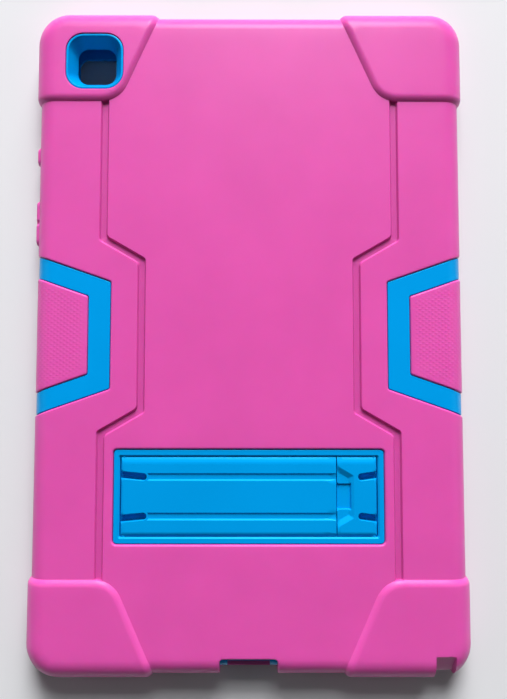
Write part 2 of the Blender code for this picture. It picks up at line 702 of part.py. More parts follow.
def shell_openings():
    """Cutters for the stand's recess and everything that goes through the shell."""
    recess = prism_tool("tray_recess", [rectangle(
        0.0, TRAY_CENTRE_Y, RECESS_HALF_X, RECESS_HALF_Y)], RECESS_FLOOR_Z, BEYOND)
    bore_half = RECESS_HALF_Y + PIN_BORE_DEPTH
    bores = [cylinder_tool(name, PIN_RADIUS + PIN_PLAY, (x, TRAY_CENTRE_Y - bore_half, HINGE_Z),
                           (x, TRAY_CENTRE_Y + bore_half, HINGE_Z))
             for name, x in (("long_leaf_bores", -HINGE_X), ("short_leaf_bores", HINGE_X))]
    port = prism_tool("shell_port", [port_outline(PORT_SHELL_HALF_X, PORT_SHELL_START_Y)],
                      -BEYOND, BEYOND)
    jack = jack_hole("shell_jack_hole")
    speakers = prism_tool("shell_speaker_slots", speaker_outlines(0.0),
                          -SHELL_Y - EMBED, SHELL_Y + EMBED, axis="Y")
    buttons = prism_tool("shell_button_slots", button_slots(), -SHELL_X - EMBED,
                         -POCKET_X + EMBED, axis="X")
    return [recess, port, jack, speakers, buttons, camera_funnel_hole()] + bores


def rear_shell():
    """Hard shell round the tablet's back and sides, with the stand's tray."""
    shell = part_object("rear_shell", block_mesh(
        "rear_shell", SHELL_X, SHELL_Y, SHELL_FRONT_Z, SHELL_BACK_Z, SHELL_CORNER,
        back=SHELL_EDGE), blue_plastic("shell_blue"))
    join(shell, *raised_shell_forms())
    pocket = tool_object("tablet_pocket", block_mesh(
        "tablet_pocket", POCKET_X, POCKET_Y, -BEYOND, POCKET_BACK_Z, POCKET_CORNER,
        back=POCKET_EDGE))
    cut(shell, pocket, *shell_openings())
    return shell


def front_frame():
    """Frame that closes the front: a flat border with a skirt round the shell's tongue."""
    frame = part_object("front_frame", block_mesh(
        "front_frame", SHELL_X, SHELL_Y, FRAME_FRONT_Z, SKIRT_BACK_Z, SHELL_CORNER),
        blue_plastic("frame_blue"))
    skirt_x = SHELL_X - LAP_THICKNESS
    skirt_y = SHELL_Y - LAP_THICKNESS
    seat = tool_object("frame_seat", block_mesh(
        "frame_seat", skirt_x, skirt_y, FRAME_BACK_Z, BEYOND, SHELL_CORNER - LAP_THICKNESS))
    window_x = SHELL_X - FRAME_BORDER
    window = prism_tool("frame_window", [rectangle(
        0.0, 0.0, window_x, SHELL_Y - FRAME_BORDER, POCKET_CORNER / 2)], -BEYOND, BEYOND)
    notch = prism_tool("front_camera_notch", [rectangle(
        -window_x, 0.0, FRONT_CAMERA_DEPTH, FRONT_CAMERA_HALF_LENGTH,
        FRONT_CAMERA_DEPTH - TOLERANCE * 10)], -BEYOND, BEYOND)
    port = prism_tool("frame_port", [port_outline(PORT_SHELL_HALF_X, PORT_SHELL_START_Y)],
                      -BEYOND, BEYOND)
    cut(frame, seat, window, notch, port, jack_hole("frame_jack_hole"))
    return frame


def leaf_section():
    """Cross-section of a leaf as (y, z) points, with chamfered long edges at the back."""
    half = LEAF_HALF_Y
    shoulder = LEAF_BACK_Z - LEAF_CHAMFER_DEPTH
    flat = half - LEAF_CHAMFER_WIDTH
    points = [(-half, LEAF_FRONT_Z), (half, LEAF_FRONT_Z), (half, shoulder),
              (flat, LEAF_BACK_Z), (-flat, LEAF_BACK_Z), (-half, shoulder)]
    return [(TRAY_CENTRE_Y + y, z) for y, z in points]


def leaf_side_view(free_end_x):
    """Long side of a leaf hinged at +X as (x, z) points, fully round at its hinge."""
    round_radius = HINGE_RADIUS - TOLERANCE * 10
    outer_x = HINGE_X + HINGE_RADIUS
    points = [(free_end_x, LEAF_FRONT_Z), (outer_x, LEAF_FRONT_Z), (outer_x, LEAF_BACK_Z),
              (free_end_x, LEAF_BACK_Z)]
    return rounded_outline(points, [0.0, round_radius, round_radius, 0.0])


def arm_slots(length):
    """Slots at +X that free the leaf's two spring arms, splayed towards the hinge."""
    root_x = HINGE_X + HINGE_RADIUS - length + SLOT_WIDTH / 2
    mouth_x = HINGE_X + HINGE_RADIUS + EMBED * 2
    centre_line = [(root_x, SLOT_ROOT_Y), (mouth_x, SLOT_MOUTH_Y)]
    corners = strip_outline(centre_line, SLOT_WIDTH)
    # The round end swings back from the root by half the width
    backset = offset_points(centre_line[::-1], 0.0, closed=False)[-1]
    root = SLOT_WIDTH / 2 - TOLERANCE * 10
    shifted = [(x - SLOT_WIDTH / 2 if abs(x - backset[0]) < SLOT_WIDTH else x, y)
               for x, y in corners]
    slot = rounded_outline(shifted, [root if x < backset[0] + SLOT_WIDTH / 2 else 0.0
                                     for x, _ in shifted])
    upper = [(x, TRAY_CENTRE_Y + y) for x, y in slot]
    lower = [(x, TRAY_CENTRE_Y - y) for x, y in slot][::-1]
    return [upper, lower]


def leaf_pins(name, hinge_x):
    """Pins at both ends of the hinge line, each rooted in its arm."""
    reach = LEAF_HALF_Y + PIN_REACH
    root = LEAF_HALF_Y - LEAF_CHAMFER_WIDTH
    pins = []
    for side, label in ((-1, "lower"), (1, "upper")):
        low, high = sorted((side * root, side * reach))
        pins.append(cylinder_tool(name + "_" + label, PIN_RADIUS,
                                  (hinge_x, TRAY_CENTRE_Y + low, HINGE_Z),
                                  (hinge_x, TRAY_CENTRE_Y + high, HINGE_Z)))
    return pins


def leaf(name, free_end_x, slot_length, side):
    """A leaf of the stand; side is 1 where it is hinged at +X and -1 at -X."""
    view = leaf_side_view(side * free_end_x)
    slots = arm_slots(slot_length)
    if side < 0:
        view = mirrored(view, flip_x=True)
        slots = [mirrored(outline, flip_x=True) for outline in slots]
    low_x, high_x = sorted((side * (HINGE_X + BEYOND), free_end_x - side * BEYOND))
    solid = part_object(name, prism_mesh([leaf_section()], low_x, high_x, axis="X"),
                        blue_plastic(name + "_blue"))
    side_tool = prism_tool(name + "_side", [view], TRAY_CENTRE_Y - RECESS_HALF_Y,
                           TRAY_CENTRE_Y + RECESS_HALF_Y, axis="Y")
    keep(solid, side_tool)
    cut(solid, prism_tool(name + "_slots", slots, 0.0, BEYOND))
    return solid


def long_leaf():
    """The long leaf, with the two channels that run on from its slots."""
    solid = leaf("stand_long_leaf", LONG_LEAF_END_X, LONG_SLOT_LENGTH, -1)
    start_x = -(HINGE_X + HINGE_RADIUS - LONG_SLOT_LENGTH + SLOT_WIDTH / 2)
    middle_x = (start_x + LONG_LEAF_END_X + EMBED) / 2
    half_x = (LONG_LEAF_END_X + EMBED - start_x) / 2
    channels = [rectangle(middle_x, TRAY_CENTRE_Y + side * SLOT_ROOT_Y, half_x,
                          CHANNEL_WIDTH / 2) for side in (-1, 1)]
    cut(solid, prism_tool("leaf_channels", channels, LEAF_BACK_Z - CHANNEL_DEPTH, BEYOND))
    join(solid, *leaf_pins("long_leaf_pin", -HINGE_X))
    return solid


def short_leaf():
    """The short leaf, with the scoop for a fingertip at its free end."""
    solid = leaf("stand_short_leaf", SHORT_LEAF_END_X, SHORT_SLOT_LENGTH, 1)
    edge_x = SHORT_LEAF_END_X - EMBED
    root_x = SHORT_LEAF_END_X + SCOOP_LENGTH
    widen = (SCOOP_HALF_MOUTH - SCOOP_HALF_ROOT) / SCOOP_LENGTH * EMBED
    mouth = SCOOP_HALF_MOUTH + widen
    scoop = [(edge_x, TRAY_CENTRE_Y - mouth), (root_x, TRAY_CENTRE_Y - SCOOP_HALF_ROOT),
             (root_x, TRAY_CENTRE_Y + SCOOP_HALF_ROOT), (edge_x, TRAY_CENTRE_Y + mouth)]
    pocket = rectangle(edge_x, TRAY_CENTRE_Y, SCOOP_POCKET_LENGTH + EMBED, SCOOP_POCKET_HALF,
                       EMBED)
    cut(solid, prism_tool("scoop", [scoop], LEAF_BACK_Z - SCOOP_DEPTH, BEYOND),
        prism_tool("scoop_pocket", [pocket], LEAF_BACK_Z - SCOOP_POCKET_DEPTH, BEYOND))
    join(solid, *leaf_pins("short_leaf_pin", HINGE_X))
    return solid


def bake(part):
    """Replace the part's steps by their result, smooth on its rounded faces."""
    bpy.context.view_layer.update()
    depsgraph = bpy.context.evaluated_depsgraph_get()
    mesh = bpy.data.meshes.new_from_object(part.evaluated_get(depsgraph))
    part.modifiers.clear()
    part.data = mesh
    mesh.name = part.name
    mesh.shade_smooth()
    mesh.set_sharp_from_angle(angle=math.radians(30))


def main():
    """Build the case."""
    clear_scene()
    new_collection("rugged_tablet_case")
    new_collection("cutters")
    fixed = [silicone_skin(), rear_shell(), front_frame()]
    long_part = long_leaf()
    short_part = short_leaf()
    for part in fixed + [long_part, short_part]:
        bake(part)
    set_origin(long_part, (-HINGE_X, TRAY_CENTRE_Y, HINGE_Z))
    set_origin(short_part, (HINGE_X, TRAY_CENTRE_Y, HINGE_Z))


main()
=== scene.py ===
import math
from itertools import chain

import bmesh
import bpy
import numpy as np
from bpy.props import FloatProperty, FloatVectorProperty, PointerProperty
from mathutils import Matrix, Vector
from mathutils.geometry import delaunay_2d_cdt


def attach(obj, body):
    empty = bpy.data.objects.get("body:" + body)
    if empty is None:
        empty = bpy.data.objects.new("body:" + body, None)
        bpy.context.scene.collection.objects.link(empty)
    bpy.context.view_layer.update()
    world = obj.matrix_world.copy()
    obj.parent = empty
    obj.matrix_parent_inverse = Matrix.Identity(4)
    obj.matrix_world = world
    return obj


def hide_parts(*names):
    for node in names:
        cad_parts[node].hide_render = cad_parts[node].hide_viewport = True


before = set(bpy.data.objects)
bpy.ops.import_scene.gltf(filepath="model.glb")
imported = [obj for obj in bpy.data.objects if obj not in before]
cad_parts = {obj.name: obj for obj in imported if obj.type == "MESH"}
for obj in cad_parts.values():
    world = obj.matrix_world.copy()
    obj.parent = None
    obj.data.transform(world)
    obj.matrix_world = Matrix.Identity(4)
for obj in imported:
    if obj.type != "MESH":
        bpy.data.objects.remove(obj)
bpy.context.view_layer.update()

bl_info = {
    "name": "Rugged Tablet Case",
    "version": (1, 0, 0),
    "blender": (4, 5, 0),
    "location": "3D View > Sidebar > Tablet Case",
    "description": "Surfaces, finishes and stage of a rugged case for a 10.4-inch tablet",
    "category": "Object",
}

MM = 0.001

# The flat core of the case, from which every wall is carried outwards: half width, half
# length and corner radius, in millimetres as all the shape numbers below
CORE_X, CORE_Y, CORE_R = 76.3, 121.4, 4.6
HEART = np.array((CORE_X - CORE_R, CORE_Y - CORE_R))

# Heights of the pieces' faces
BODY_BACK, SKIN_INNER = 14.8, 12.4
SHELL_BACK, POCKET_BACK = 12.1, 10.6
FRAME_BACK, FRAME_FRONT, SKIRT_RISE = 3.4, 2.1, 1.2
BUMPER_BACK = 16.0
TABLET_MIDDLE = 7.0

# Gap between the skin and what fills its openings, and the width of a steep wall
PART_GAP, PATCH_WALL = 0.15, 0.05

# Bumpers: where the step along a side and the slanting end meet, how they turn, the
# slanting end's run, and their rise on the back, on the wall and at the front
STEP_Y, STEP_X, STEP_TURN = 92.1, 51.0, 11.0
DIAGONAL, SLANT_CURVE = 1 / math.tan(math.radians(114.2)), 0.03
BUMPER_RISE = (1.2, 1.5, 0.6)
STEP_ROWS = (0.0, 0.2, 0.5, 0.85, 1.25, 1.7, 2.2, 2.8)

# Sunken lines: the middle of the right one, which the left one mirrors
GROOVE_LINE = ((56.55, -96), (56.55, -37.6), (41.5, -28.9), (41.5, 28.9), (56.55, 37.6),
               (56.55, 96))
GROOVE_ROWS = (-0.3, -0.15, 0.0, 0.2, 0.45, 0.6)

# Buttons on the left wall: their ends along Y and their rounded step
POWER_Y, VOLUME_Y = (67.9, 76.0), (35.7, 54.3)
BUTTON_RISE, BUTTON_ROWS = 1.2, (0.0, 0.15, 0.35, 0.6, 0.85, 1.1)

# C-shaped side bands: where their long edges start, the edges' slope, and their side end
BAND_OUTER, BAND_INNER = (53.3, 20.7), (62.1, 15.1)
BAND_SLOPE, BAND_SIDE, BAND_FOOT, BAND_CORNER = 0.35, 83.3, 6.0, 1.0
RIB_RISE = (2.3, 2.4)

# Openings: charging port in the skin; sound slots' place, half length and half height; and
# how much a full-round end's radius stays below its half height
PORT_HALF, PORT_SILL, PORT_CORNER = 10.9, 2.6, 1.5
SOUND_X, SOUND_HALF, SOUND_UP = 23.5, 8.8, 1.2
ROUND_END = 0.01

# Headphone scoop: its middle and half width, where its slope starts and its back wall
# stands, how low the slope comes, its sill, and the holes in the skin and the shell
JACK_X, JACK_HALF = 73.6, 3.9
NOTCH_START, NOTCH_WALL, NOTCH_SLOPE_Z, NOTCH_SILL = -119.8, -126.7, 10.8, 3.0
NOTCH_FALL = (BUMPER_BACK - NOTCH_SLOPE_Z) / (NOTCH_START - NOTCH_WALL)
JACK_SKIN_R, JACK_SHELL_R = 3.5, 3.2

# Stand
TRAY_Y, TRAY_HALF, TRAY_CORNER = -61.4, (51.5, 17.8), 1.5
TRAY_RISE, RECESS_DROP, TRAY_BEVEL, BEVEL_SLOPE = 2.15, 0.8, 0.6, 0.8
LEAF_BACK, LEAF_FRONT = 14.3, 12.0
LEAF_HALF, LEAF_FLAT, LEAF_LOW_FLAT = 14.92, 12.3, 13.2
HINGE_X, HINGE_R, HINGE_Z = 47.5, 1.15, 13.15
SPLIT_X = 33.35
SLOT_HALF, SLOT_OPEN_Y, SLOT_ROOT_Y = 1.3, 8.2, 7.4

# Camera window
CAMERA, CAMERA_HALF, CAMERA_CORNER = (-60.8, 107.9), (11.35, 11.25), 6.9
FUNNEL_RISE = 3.6

# Meshing: room that points keep from borders and rows, and the longest link of a row
ROW_ROOM, FILL_ROOM, LONGEST_LINK = 0.02, 0.6, 6.0


def section(start, moves):
    """Section of a wall that starts flat on the back and turns outwards and down.

    Each move is (radius, degrees) for an arc or (length, 0) for a straight run. The
    position goes p' = p + r (n(f') - n(f)) on an arc and p' = p + l t(f) on a run, with
    n = (sin f, cos f) and t = (cos f, -sin f). Columns: travel, reach, height, angle.
    """
    reach, height = start
    travel, angle = 0.0, 0.0
    rows = [(travel, reach, height, angle)]
    for size, turn in moves:
        if turn:
            steps = max(2, int(abs(turn) / 6))
            angles = angle + np.radians(turn) * np.arange(1, steps + 1) / steps
            radius = size if turn > 0 else -size
            for f in angles:
                rows.append((travel + abs(size * (f - angle)),
                             reach + radius * (math.sin(f) - math.sin(angle)),
                             height + radius * (math.cos(f) - math.cos(angle)), f))
        else:
            rows.append((travel + size, reach + size * math.cos(angle),
                         height - size * math.sin(angle), angle + 1e-6))
        travel, reach, height, angle = rows[-1]
    return np.array(rows)


SKIN_OUT = section((0, BODY_BACK), [(7.0, 90), (4.6, 0), (2.6, 90), (4.5, 0), (0.4, 90),
                                    (0.2, 0)])
SKIN_IN = section((0, SKIN_INNER), [(4.5, 90), (5.8, 0), (0.3, 90), (4.3, 0), (0.4, -90),
                                    (0.2, 0)])
SHELL_OUT = section((0, SHELL_BACK), [(4.2, 90), (2.85, 0), (0.15, 90), (0.4, 0),
                                      (0.1, -90), (1.0, 0), (0.1, 90), (0.35, 0)])
SHELL_IN = section((0, POCKET_BACK), [(2.6, 90), (4.2, 0), (0.1, -90), (0.35, 0)])


def first_curve(profile):
    """Rows of a section from the back to where it first stands upright."""
    return profile[:int(np.argmax(profile[:, 3] > math.pi / 2 - 1e-6)) + 1]


def travel_at(profile, height):
    """Travel at which a section passes a height on its way down."""
    down = profile[:int(np.argmin(profile[:, 2])) + 1]
    return np.interp(-height, -down[:, 2], down[:, 0])


def raised(profile, rise):
    """The same section moved out by a distance along its normals."""
    moved = profile.copy()
    moved[:, 1] += rise * np.sin(profile[:, 3])
    moved[:, 2] += rise * np.cos(profile[:, 3])
    return moved


def unroll(points):
    """Travel past the core's edge, outward direction and foot on the core's edge."""
    sign = np.where(points < 0, -1.0, 1.0)
    reach = np.abs(points) - HEART
    corner = (reach > 0).all(axis=1)
    length = np.linalg.norm(reach, axis=1)
    side = np.where((reach[:, 0] > reach[:, 1])[:, None], (1.0, 0.0), (0.0, 1.0))
    out = np.where(corner[:, None], reach / np.maximum(length, 1e-9)[:, None], side)
    travel = np.where(corner, length, reach.max(axis=1)) - CORE_R
    out = out * sign
    return travel, out, points - out * travel[:, None]


def wrap(profile, points, lift):
    """Point (foot + out * reach, height) of the section, moved by lift along its normal."""
    travel, out, foot = unroll(points)
    reach = np.where(travel > 0, np.interp(travel, profile[:, 0], profile[:, 1]), travel)
    height = np.interp(travel, profile[:, 0], profile[:, 2])
    angle = np.interp(travel, profile[:, 0], profile[:, 3])
    normal = np.column_stack([out * np.sin(angle)[:, None], np.cos(angle)])
    place = np.column_stack([foot + out * reach[:, None], height])
    return place + normal * lift(points, travel, angle, place, normal)[:, None]


def drape(profile, plan):
    """Flat place of plan points that lie on the back or on the back edge's curve."""
    plan = np.atleast_2d(np.asarray(plan, float))
    quarter = first_curve(profile)
    past, out, _ = unroll(plan)
    travel = np.where(past > 0, np.interp(past, quarter[:, 1], quarter[:, 0]), past)
    return plan + out * (travel - past)[:, None]


def hang(profile, side, across, height):
    """Flat place of wall points: side is (1, 0), (-1, 0), (0, 1) or (0, -1)."""
    across, height = np.broadcast_arrays(np.asarray(across, float), height)
    travel = travel_at(profile, height)
    reach = np.interp(travel, profile[:, 0], profile[:, 1])
    axis = 1 if side[0] else 0
    limit = HEART[axis]
    past = np.clip((np.abs(across) - limit) / (CORE_R + reach), 0, 1)
    along = np.where(past > 0, limit + past * (CORE_R + travel), np.abs(across))
    away = HEART[1 - axis] + np.sqrt(1 - past ** 2) * (CORE_R + travel)
    flat = np.empty((len(across), 2))
    flat[:, axis] = along * np.where(across < 0, -1, 1)
    flat[:, 1 - axis] = away * (side[0] + side[1])
    return flat


def rounded(points, radii, step=12.0):
    """Replace each corner of an outline by an arc of its own radius."""
    corners = [Vector(p) for p in points]
    radii = [radii] * len(corners) if isinstance(radii, (int, float)) else radii
    outline = []
    for i, corner in enumerate(corners):
        if radii[i] <= 0:
            outline.append(tuple(corner))
            continue
        towards = (corners[i - 1] - corner).normalized()
        away = (corners[(i + 1) % len(corners)] - corner).normalized()
        half = towards.angle(away) / 2
        centre = corner + (towards + away).normalized() * (radii[i] / math.sin(half))
        start = corner + towards * (radii[i] / math.tan(half)) - centre
        turn = math.pi - 2 * half
        sense = 1.0 if towards.cross(away) < 0 else -1.0
        steps = max(2, round(math.degrees(turn) / step))
        outline += [tuple(centre + Matrix.Rotation(sense * turn * k / steps, 2) @ start)
                    for k in range(steps + 1)]
    return np.array(outline)


def slab(centre_x, centre_y, half_x, half_y, radius=0.0):
    """Anticlockwise rounded rectangle."""
    return rounded([(centre_x - half_x, centre_y - half_y),
                    (centre_x + half_x, centre_y - half_y),
                    (centre_x + half_x, centre_y + half_y),
                    (centre_x - half_x, centre_y + half_y)], radius)


def resample(points, pitch, closed=True, like=None):
    """Add points so that no stretch is longer than the pitch; the corners stay.

    With like given, its stretches decide how many points each one gets.
    """
    ends = np.roll(points, -1, axis=0) if closed else points[1:]
    starts = points if closed else points[:-1]
    span = ends - starts
    guide = span if like is None else np.roll(like, -1, axis=0) - like
    count = np.maximum(1, np.ceil(np.linalg.norm(guide, axis=1) / pitch)).astype(int)
    index = np.repeat(np.arange(len(starts)), count)
    share = (np.arange(count.sum()) - np.repeat(np.cumsum(count) - count, count)) / count[index]
    dense = starts[index] + span[index] * share[:, None]
    return dense if closed else np.vstack([dense, points[-1:]])


def anticlockwise(outline):
    """The outline with its inside on the left."""
    x, y = outline.T
    area = np.sum(x * np.roll(y, -1) - np.roll(x, -1) * y)
    return outline if area > 0 else outline[::-1]


def beside(outline, distance):
    """Closed outline moved inwards by a distance, with mitred corners."""
    before = outline - np.roll(outline, 1, axis=0)
    after = np.roll(outline, -1, axis=0) - outline
    first, second = (np.column_stack([-v[:, 1], v[:, 0]]) /
                     np.maximum(np.linalg.norm(v, axis=1), 1e-9)[:, None]
                     for v in (before, after))
    mitre = first + second
    mitre /= np.maximum(np.linalg.norm(mitre, axis=1), 1e-9)[:, None]
    stretch = np.maximum((mitre * first).sum(axis=1), 0.5)
    return outline + mitre * (distance / stretch)[:, None]


def distance_in(points, outline, signed=True):
    """Distance to a closed outline, positive inside it."""
    span = np.roll(outline, -1, axis=0) - outline
    square = np.maximum((span ** 2).sum(axis=1), 1e-12)
    parts = []
    for block in np.array_split(points, len(points) // 2000 + 1):
        gap = block[:, None] - outline[None]
        share = np.clip((gap * span).sum(axis=2) / square, 0, 1)
        near = np.sqrt(((gap - share[..., None] * span) ** 2).sum(axis=2).min(axis=1))
        if signed:
            above = outline[:, 1] > block[:, 1:2]
            cross = above != np.roll(above, -1, axis=1)
            rise = np.where(np.abs(span[:, 1]) < 1e-12, 1e-12, span[:, 1])
            hit = gap[..., 0] < span[:, 0] * gap[..., 1] / rise
            near = np.where((cross & hit).sum(axis=1) % 2 == 1, near, -near)
        parts.append(near)
    return np.concatenate(parts)


def depth_in(points, outline, reach=2.0):
    """Distance inside a closed outline, kept between -reach and reach."""
    low, high = outline.min(axis=0) - reach, outline.max(axis=0) + reach
    close = ((points > low) & (points < high)).all(axis=1)
    depth = np.full(len(points), -reach)
    if close.any():
        depth[close] = np.clip(distance_in(points[close], outline), -reach, reach)
    return depth


def triangulate(borders, rows, fill):
    """Triangles between the first border and the others, with edges along the rows.

    A point is kept where its room, the distance to the nearest border, is positive. Fill
    points also keep clear of the rows. A row that is open isn't closed by a long link.
    Gives the flat points, the triangles and the borders' own point numbers.
    """
    def room(points):
        clear = distance_in(points, borders[0])
        for border in borders[1:]:
            clear = np.minimum(clear, -depth_in(points, border))
        return clear
    points, edges, base = [], [], 0
    for border in borders:
        index = base + np.arange(len(border))
        points.append(border)
        edges.append(np.column_stack([index, np.roll(index, -1)]))
        base += len(border)
    for row in rows:
        keep = room(row) > ROW_ROOM
        number = np.cumsum(keep) - 1 + base
        stretch = np.linalg.norm(np.roll(row, -1, axis=0) - row, axis=1)
        linked = keep & np.roll(keep, -1) & (stretch < LONGEST_LINK)
        edges.append(np.column_stack([number, np.roll(number, -1)])[linked])
        points.append(row[keep])
        base += int(keep.sum())
    lines = np.vstack(points)
    fill = fill[room(fill) > FILL_ROOM]
    clear = np.ones(len(fill), bool)
    for line in rows:
        low, high = line.min(axis=0) - 1, line.max(axis=0) + 1
        close = ((fill > low) & (fill < high)).all(axis=1) & clear
        if close.any():
            clear[close] = distance_in(fill[close], line, signed=False) > FILL_ROOM
    points = np.vstack([lines, fill[clear]])
    made = delaunay_2d_cdt(points.tolist(), np.vstack(edges).tolist(), [], 0, 1e-5, True)
    flat = np.array([tuple(p) for p in made[0]])
    faces = np.array(made[2])
    centre = flat[faces].mean(axis=1)
    faces = faces[room(centre) > 0]
    lengths = np.fromiter(map(len, made[3]), int)
    origin = np.fromiter(chain.from_iterable(made[3]), int)
    place = np.zeros(len(points), int)
    place[origin] = np.repeat(np.arange(len(flat)), lengths)
    loops, base = [], 0
    for border in borders:
        loops.append(place[base:base + len(border)])
        base += len(border)
    return flat, faces, loops


def solid_mesh(name, outside, inside):
    """Close two sheets into one skin: outside up, inside reversed, joined along borders."""
    points_a, faces_a, loops_a = outside
    points_b, faces_b, loops_b = inside
    shift = len(points_a)
    triangles = np.vstack([faces_a, faces_b[:, ::-1] + shift])
    walls = []
    for number, (a, b) in enumerate(zip(loops_a, loops_b)):
        wall = np.column_stack([a, b + shift, np.roll(b, -1) + shift, np.roll(a, -1)])
        walls.append(wall if number == 0 else wall[:, ::-1])
    walls = np.vstack(walls)
    points = np.vstack([points_a, points_b]) * MM
    mesh = bpy.data.meshes.new(name)
    mesh.vertices.add(len(points))
    mesh.vertices.foreach_set("co", points.ravel())
    corners = np.concatenate([triangles.ravel(), walls.ravel()])
    sizes = np.concatenate([np.full(len(triangles), 3), np.full(len(walls), 4)])
    mesh.loops.add(len(corners))
    mesh.loops.foreach_set("vertex_index", corners)
    mesh.polygons.add(len(sizes))
    mesh.polygons.foreach_set("loop_start", np.cumsum(sizes) - sizes)
    mesh.update(calc_edges=True)
    mesh.validate()
    return mesh


def plain_mesh(name, points, faces):
    """Mesh of a few faces, from points in millimetres."""
    mesh = bpy.data.meshes.new(name)
    mesh.from_pydata((points * MM).tolist(), [], faces)
    mesh.update()
    return mesh


def in_scene(name, data):
    """New object with its data, linked to the scene."""
    made = bpy.data.objects.new(name, data)
    bpy.context.scene.collection.objects.link(made)
    return made


def finish_piece(name, mesh, material, body, node, angle=38.0):
    """Smooth shading with weighted normals, and the piece's place in the frame."""
    piece = in_scene(name, mesh)
    mesh.materials.append(material)
    mesh.shade_smooth()
    mesh.set_sharp_from_angle(angle=math.radians(angle))
    weigh = piece.modifiers.new("weigh_normals", "WEIGHTED_NORMAL")
    weigh.keep_sharp = True
    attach(piece, body)
    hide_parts(node)
    return piece


def ring(travel, pitch=2.2, steps=12):
    """Closed line at one travel past the core's edge."""
    turn = np.radians(np.arange(steps + 1) * 90.0 / steps)
    arc = np.column_stack([np.cos(turn), np.sin(turn)]) * (CORE_R + travel)
    quarter = HEART + arc
    line = np.vstack([quarter, (quarter * (-1, 1))[::-1], quarter * (-1, -1),
                      (quarter * (1, -1))[::-1]])
    counts = [round(2 * HEART[0] / pitch), round(2 * HEART[1] / pitch)]
    parts = []
    for k in range(4):
        parts.append(line[k * (steps + 1):(k + 1) * (steps + 1)])
        start = line[(k + 1) * (steps + 1) - 1]
        end = line[((k + 1) * (steps + 1)) % len(line)]
        share = np.arange(1, counts[k % 2]) / counts[k % 2]
        parts.append(start + (end - start) * share[:, None])
    return np.vstack(parts)


def backdrop_points(profile, pitch=4.0):
    """Fill: a grid on the flat core and rings along the wall's section."""
    xs = np.arange(-CORE_X + 2, CORE_X - 1, pitch)
    ys = np.arange(-CORE_Y + 2, CORE_Y - 1, pitch)
    grid = np.stack(np.meshgrid(xs, ys), axis=-1).reshape(-1, 2)
    travels = np.unique(np.round(profile[:, 0], 3))
    chosen = [0.0]
    for value in travels[:-1]:
        if value - chosen[-1] > 0.9:
            chosen.append(value)
    rings = [ring(value) for value in chosen]
    return np.vstack([grid] + rings)


def round_over(distance, radius):
    """Drop of a rounded edge: r - sqrt(r^2 - (r - d)^2) within r of the edge."""
    near = np.clip(radius - distance, 0, radius)
    return radius - np.sqrt(np.maximum(radius ** 2 - near ** 2, 0))


def edge_drop(points, outline, radius, side=1):
    """Drop of the edge along an outline, inside it or with side -1 outside it."""
    return round_over(np.maximum(side * depth_in(points, outline), 0), radius)


def plateau(inside, rise, radius):
    """Height of a raised patch with a steep wall and a rounded edge."""
    return (np.clip(inside / PATCH_WALL, 0, 1) * rise
            - round_over(np.maximum(inside - PATCH_WALL, 0), radius))


def step_up(distance, width):
    """Share of a rise: 1 - (1 - d / w)^2.1, steep at its foot and level at its crest."""
    return 1 - (1 - np.clip(distance / width, 0, 1)) ** 2.1


def bumper_outlines():
    """Flat outlines of the four bumpers: a step along each side and a slanting end."""
    wall = raised(SKIN_OUT, BUMPER_RISE[1])
    curve = np.sin(np.radians(np.arange(0, 91, 9)))
    plan_y = CORE_Y + (first_curve(SKIN_OUT)[-1, 1] + BUMPER_RISE[1]) * curve
    plan_x = STEP_X + DIAGONAL * (plan_y - STEP_Y) + SLANT_CURVE * (plan_y - CORE_Y) ** 2
    slant = drape(wall, np.column_stack([plan_x, plan_y]))
    slant[:, 0] = plan_x
    far_x, far_y = CORE_X + 40, CORE_Y + 40
    start = [(far_x, STEP_Y), (far_x, far_y), (slant[-1, 0], far_y)]
    turn = rounded(start + [tuple(slant[-1]), tuple(slant[0]), (STEP_X, STEP_Y)],
                   [0, 0, 0, 0, 0, STEP_TURN], 6.0)
    outline = resample(anticlockwise(np.vstack([start, slant[::-1], turn[5:]])), 2.0)
    return [anticlockwise(outline * flip) for flip in ((1, 1), (-1, 1), (-1, -1), (1, -1))]


def groove_outlines(width):
    """Flat outlines of the two sunken lines, from bumper to bumper."""
    line = [Vector(p) for p in GROOVE_LINE]
    sides = []
    for half in (-width / 2, width / 2):
        shifted = []
        for i, point in enumerate(line):
            first = (point - line[max(i - 1, 0)]).normalized() if i else None
            second = (line[min(i + 1, 5)] - point).normalized() if i < 5 else None
            one = first or second
            two = second or first
            left = Vector((-one.y - two.y, one.x + two.x)).normalized()
            shifted.append(tuple(point + left * (half / left.dot(Vector((-one.y, one.x))))))
        sides.append(shifted)
    outline = rounded(sides[0] + sides[1][::-1], [0, 2, 2, 2, 2, 0, 0, 2, 2, 2, 2, 0], 8.0)
    outline = resample(anticlockwise(outline), 2.5)
    return [outline, anticlockwise(outline * (-1, 1))]


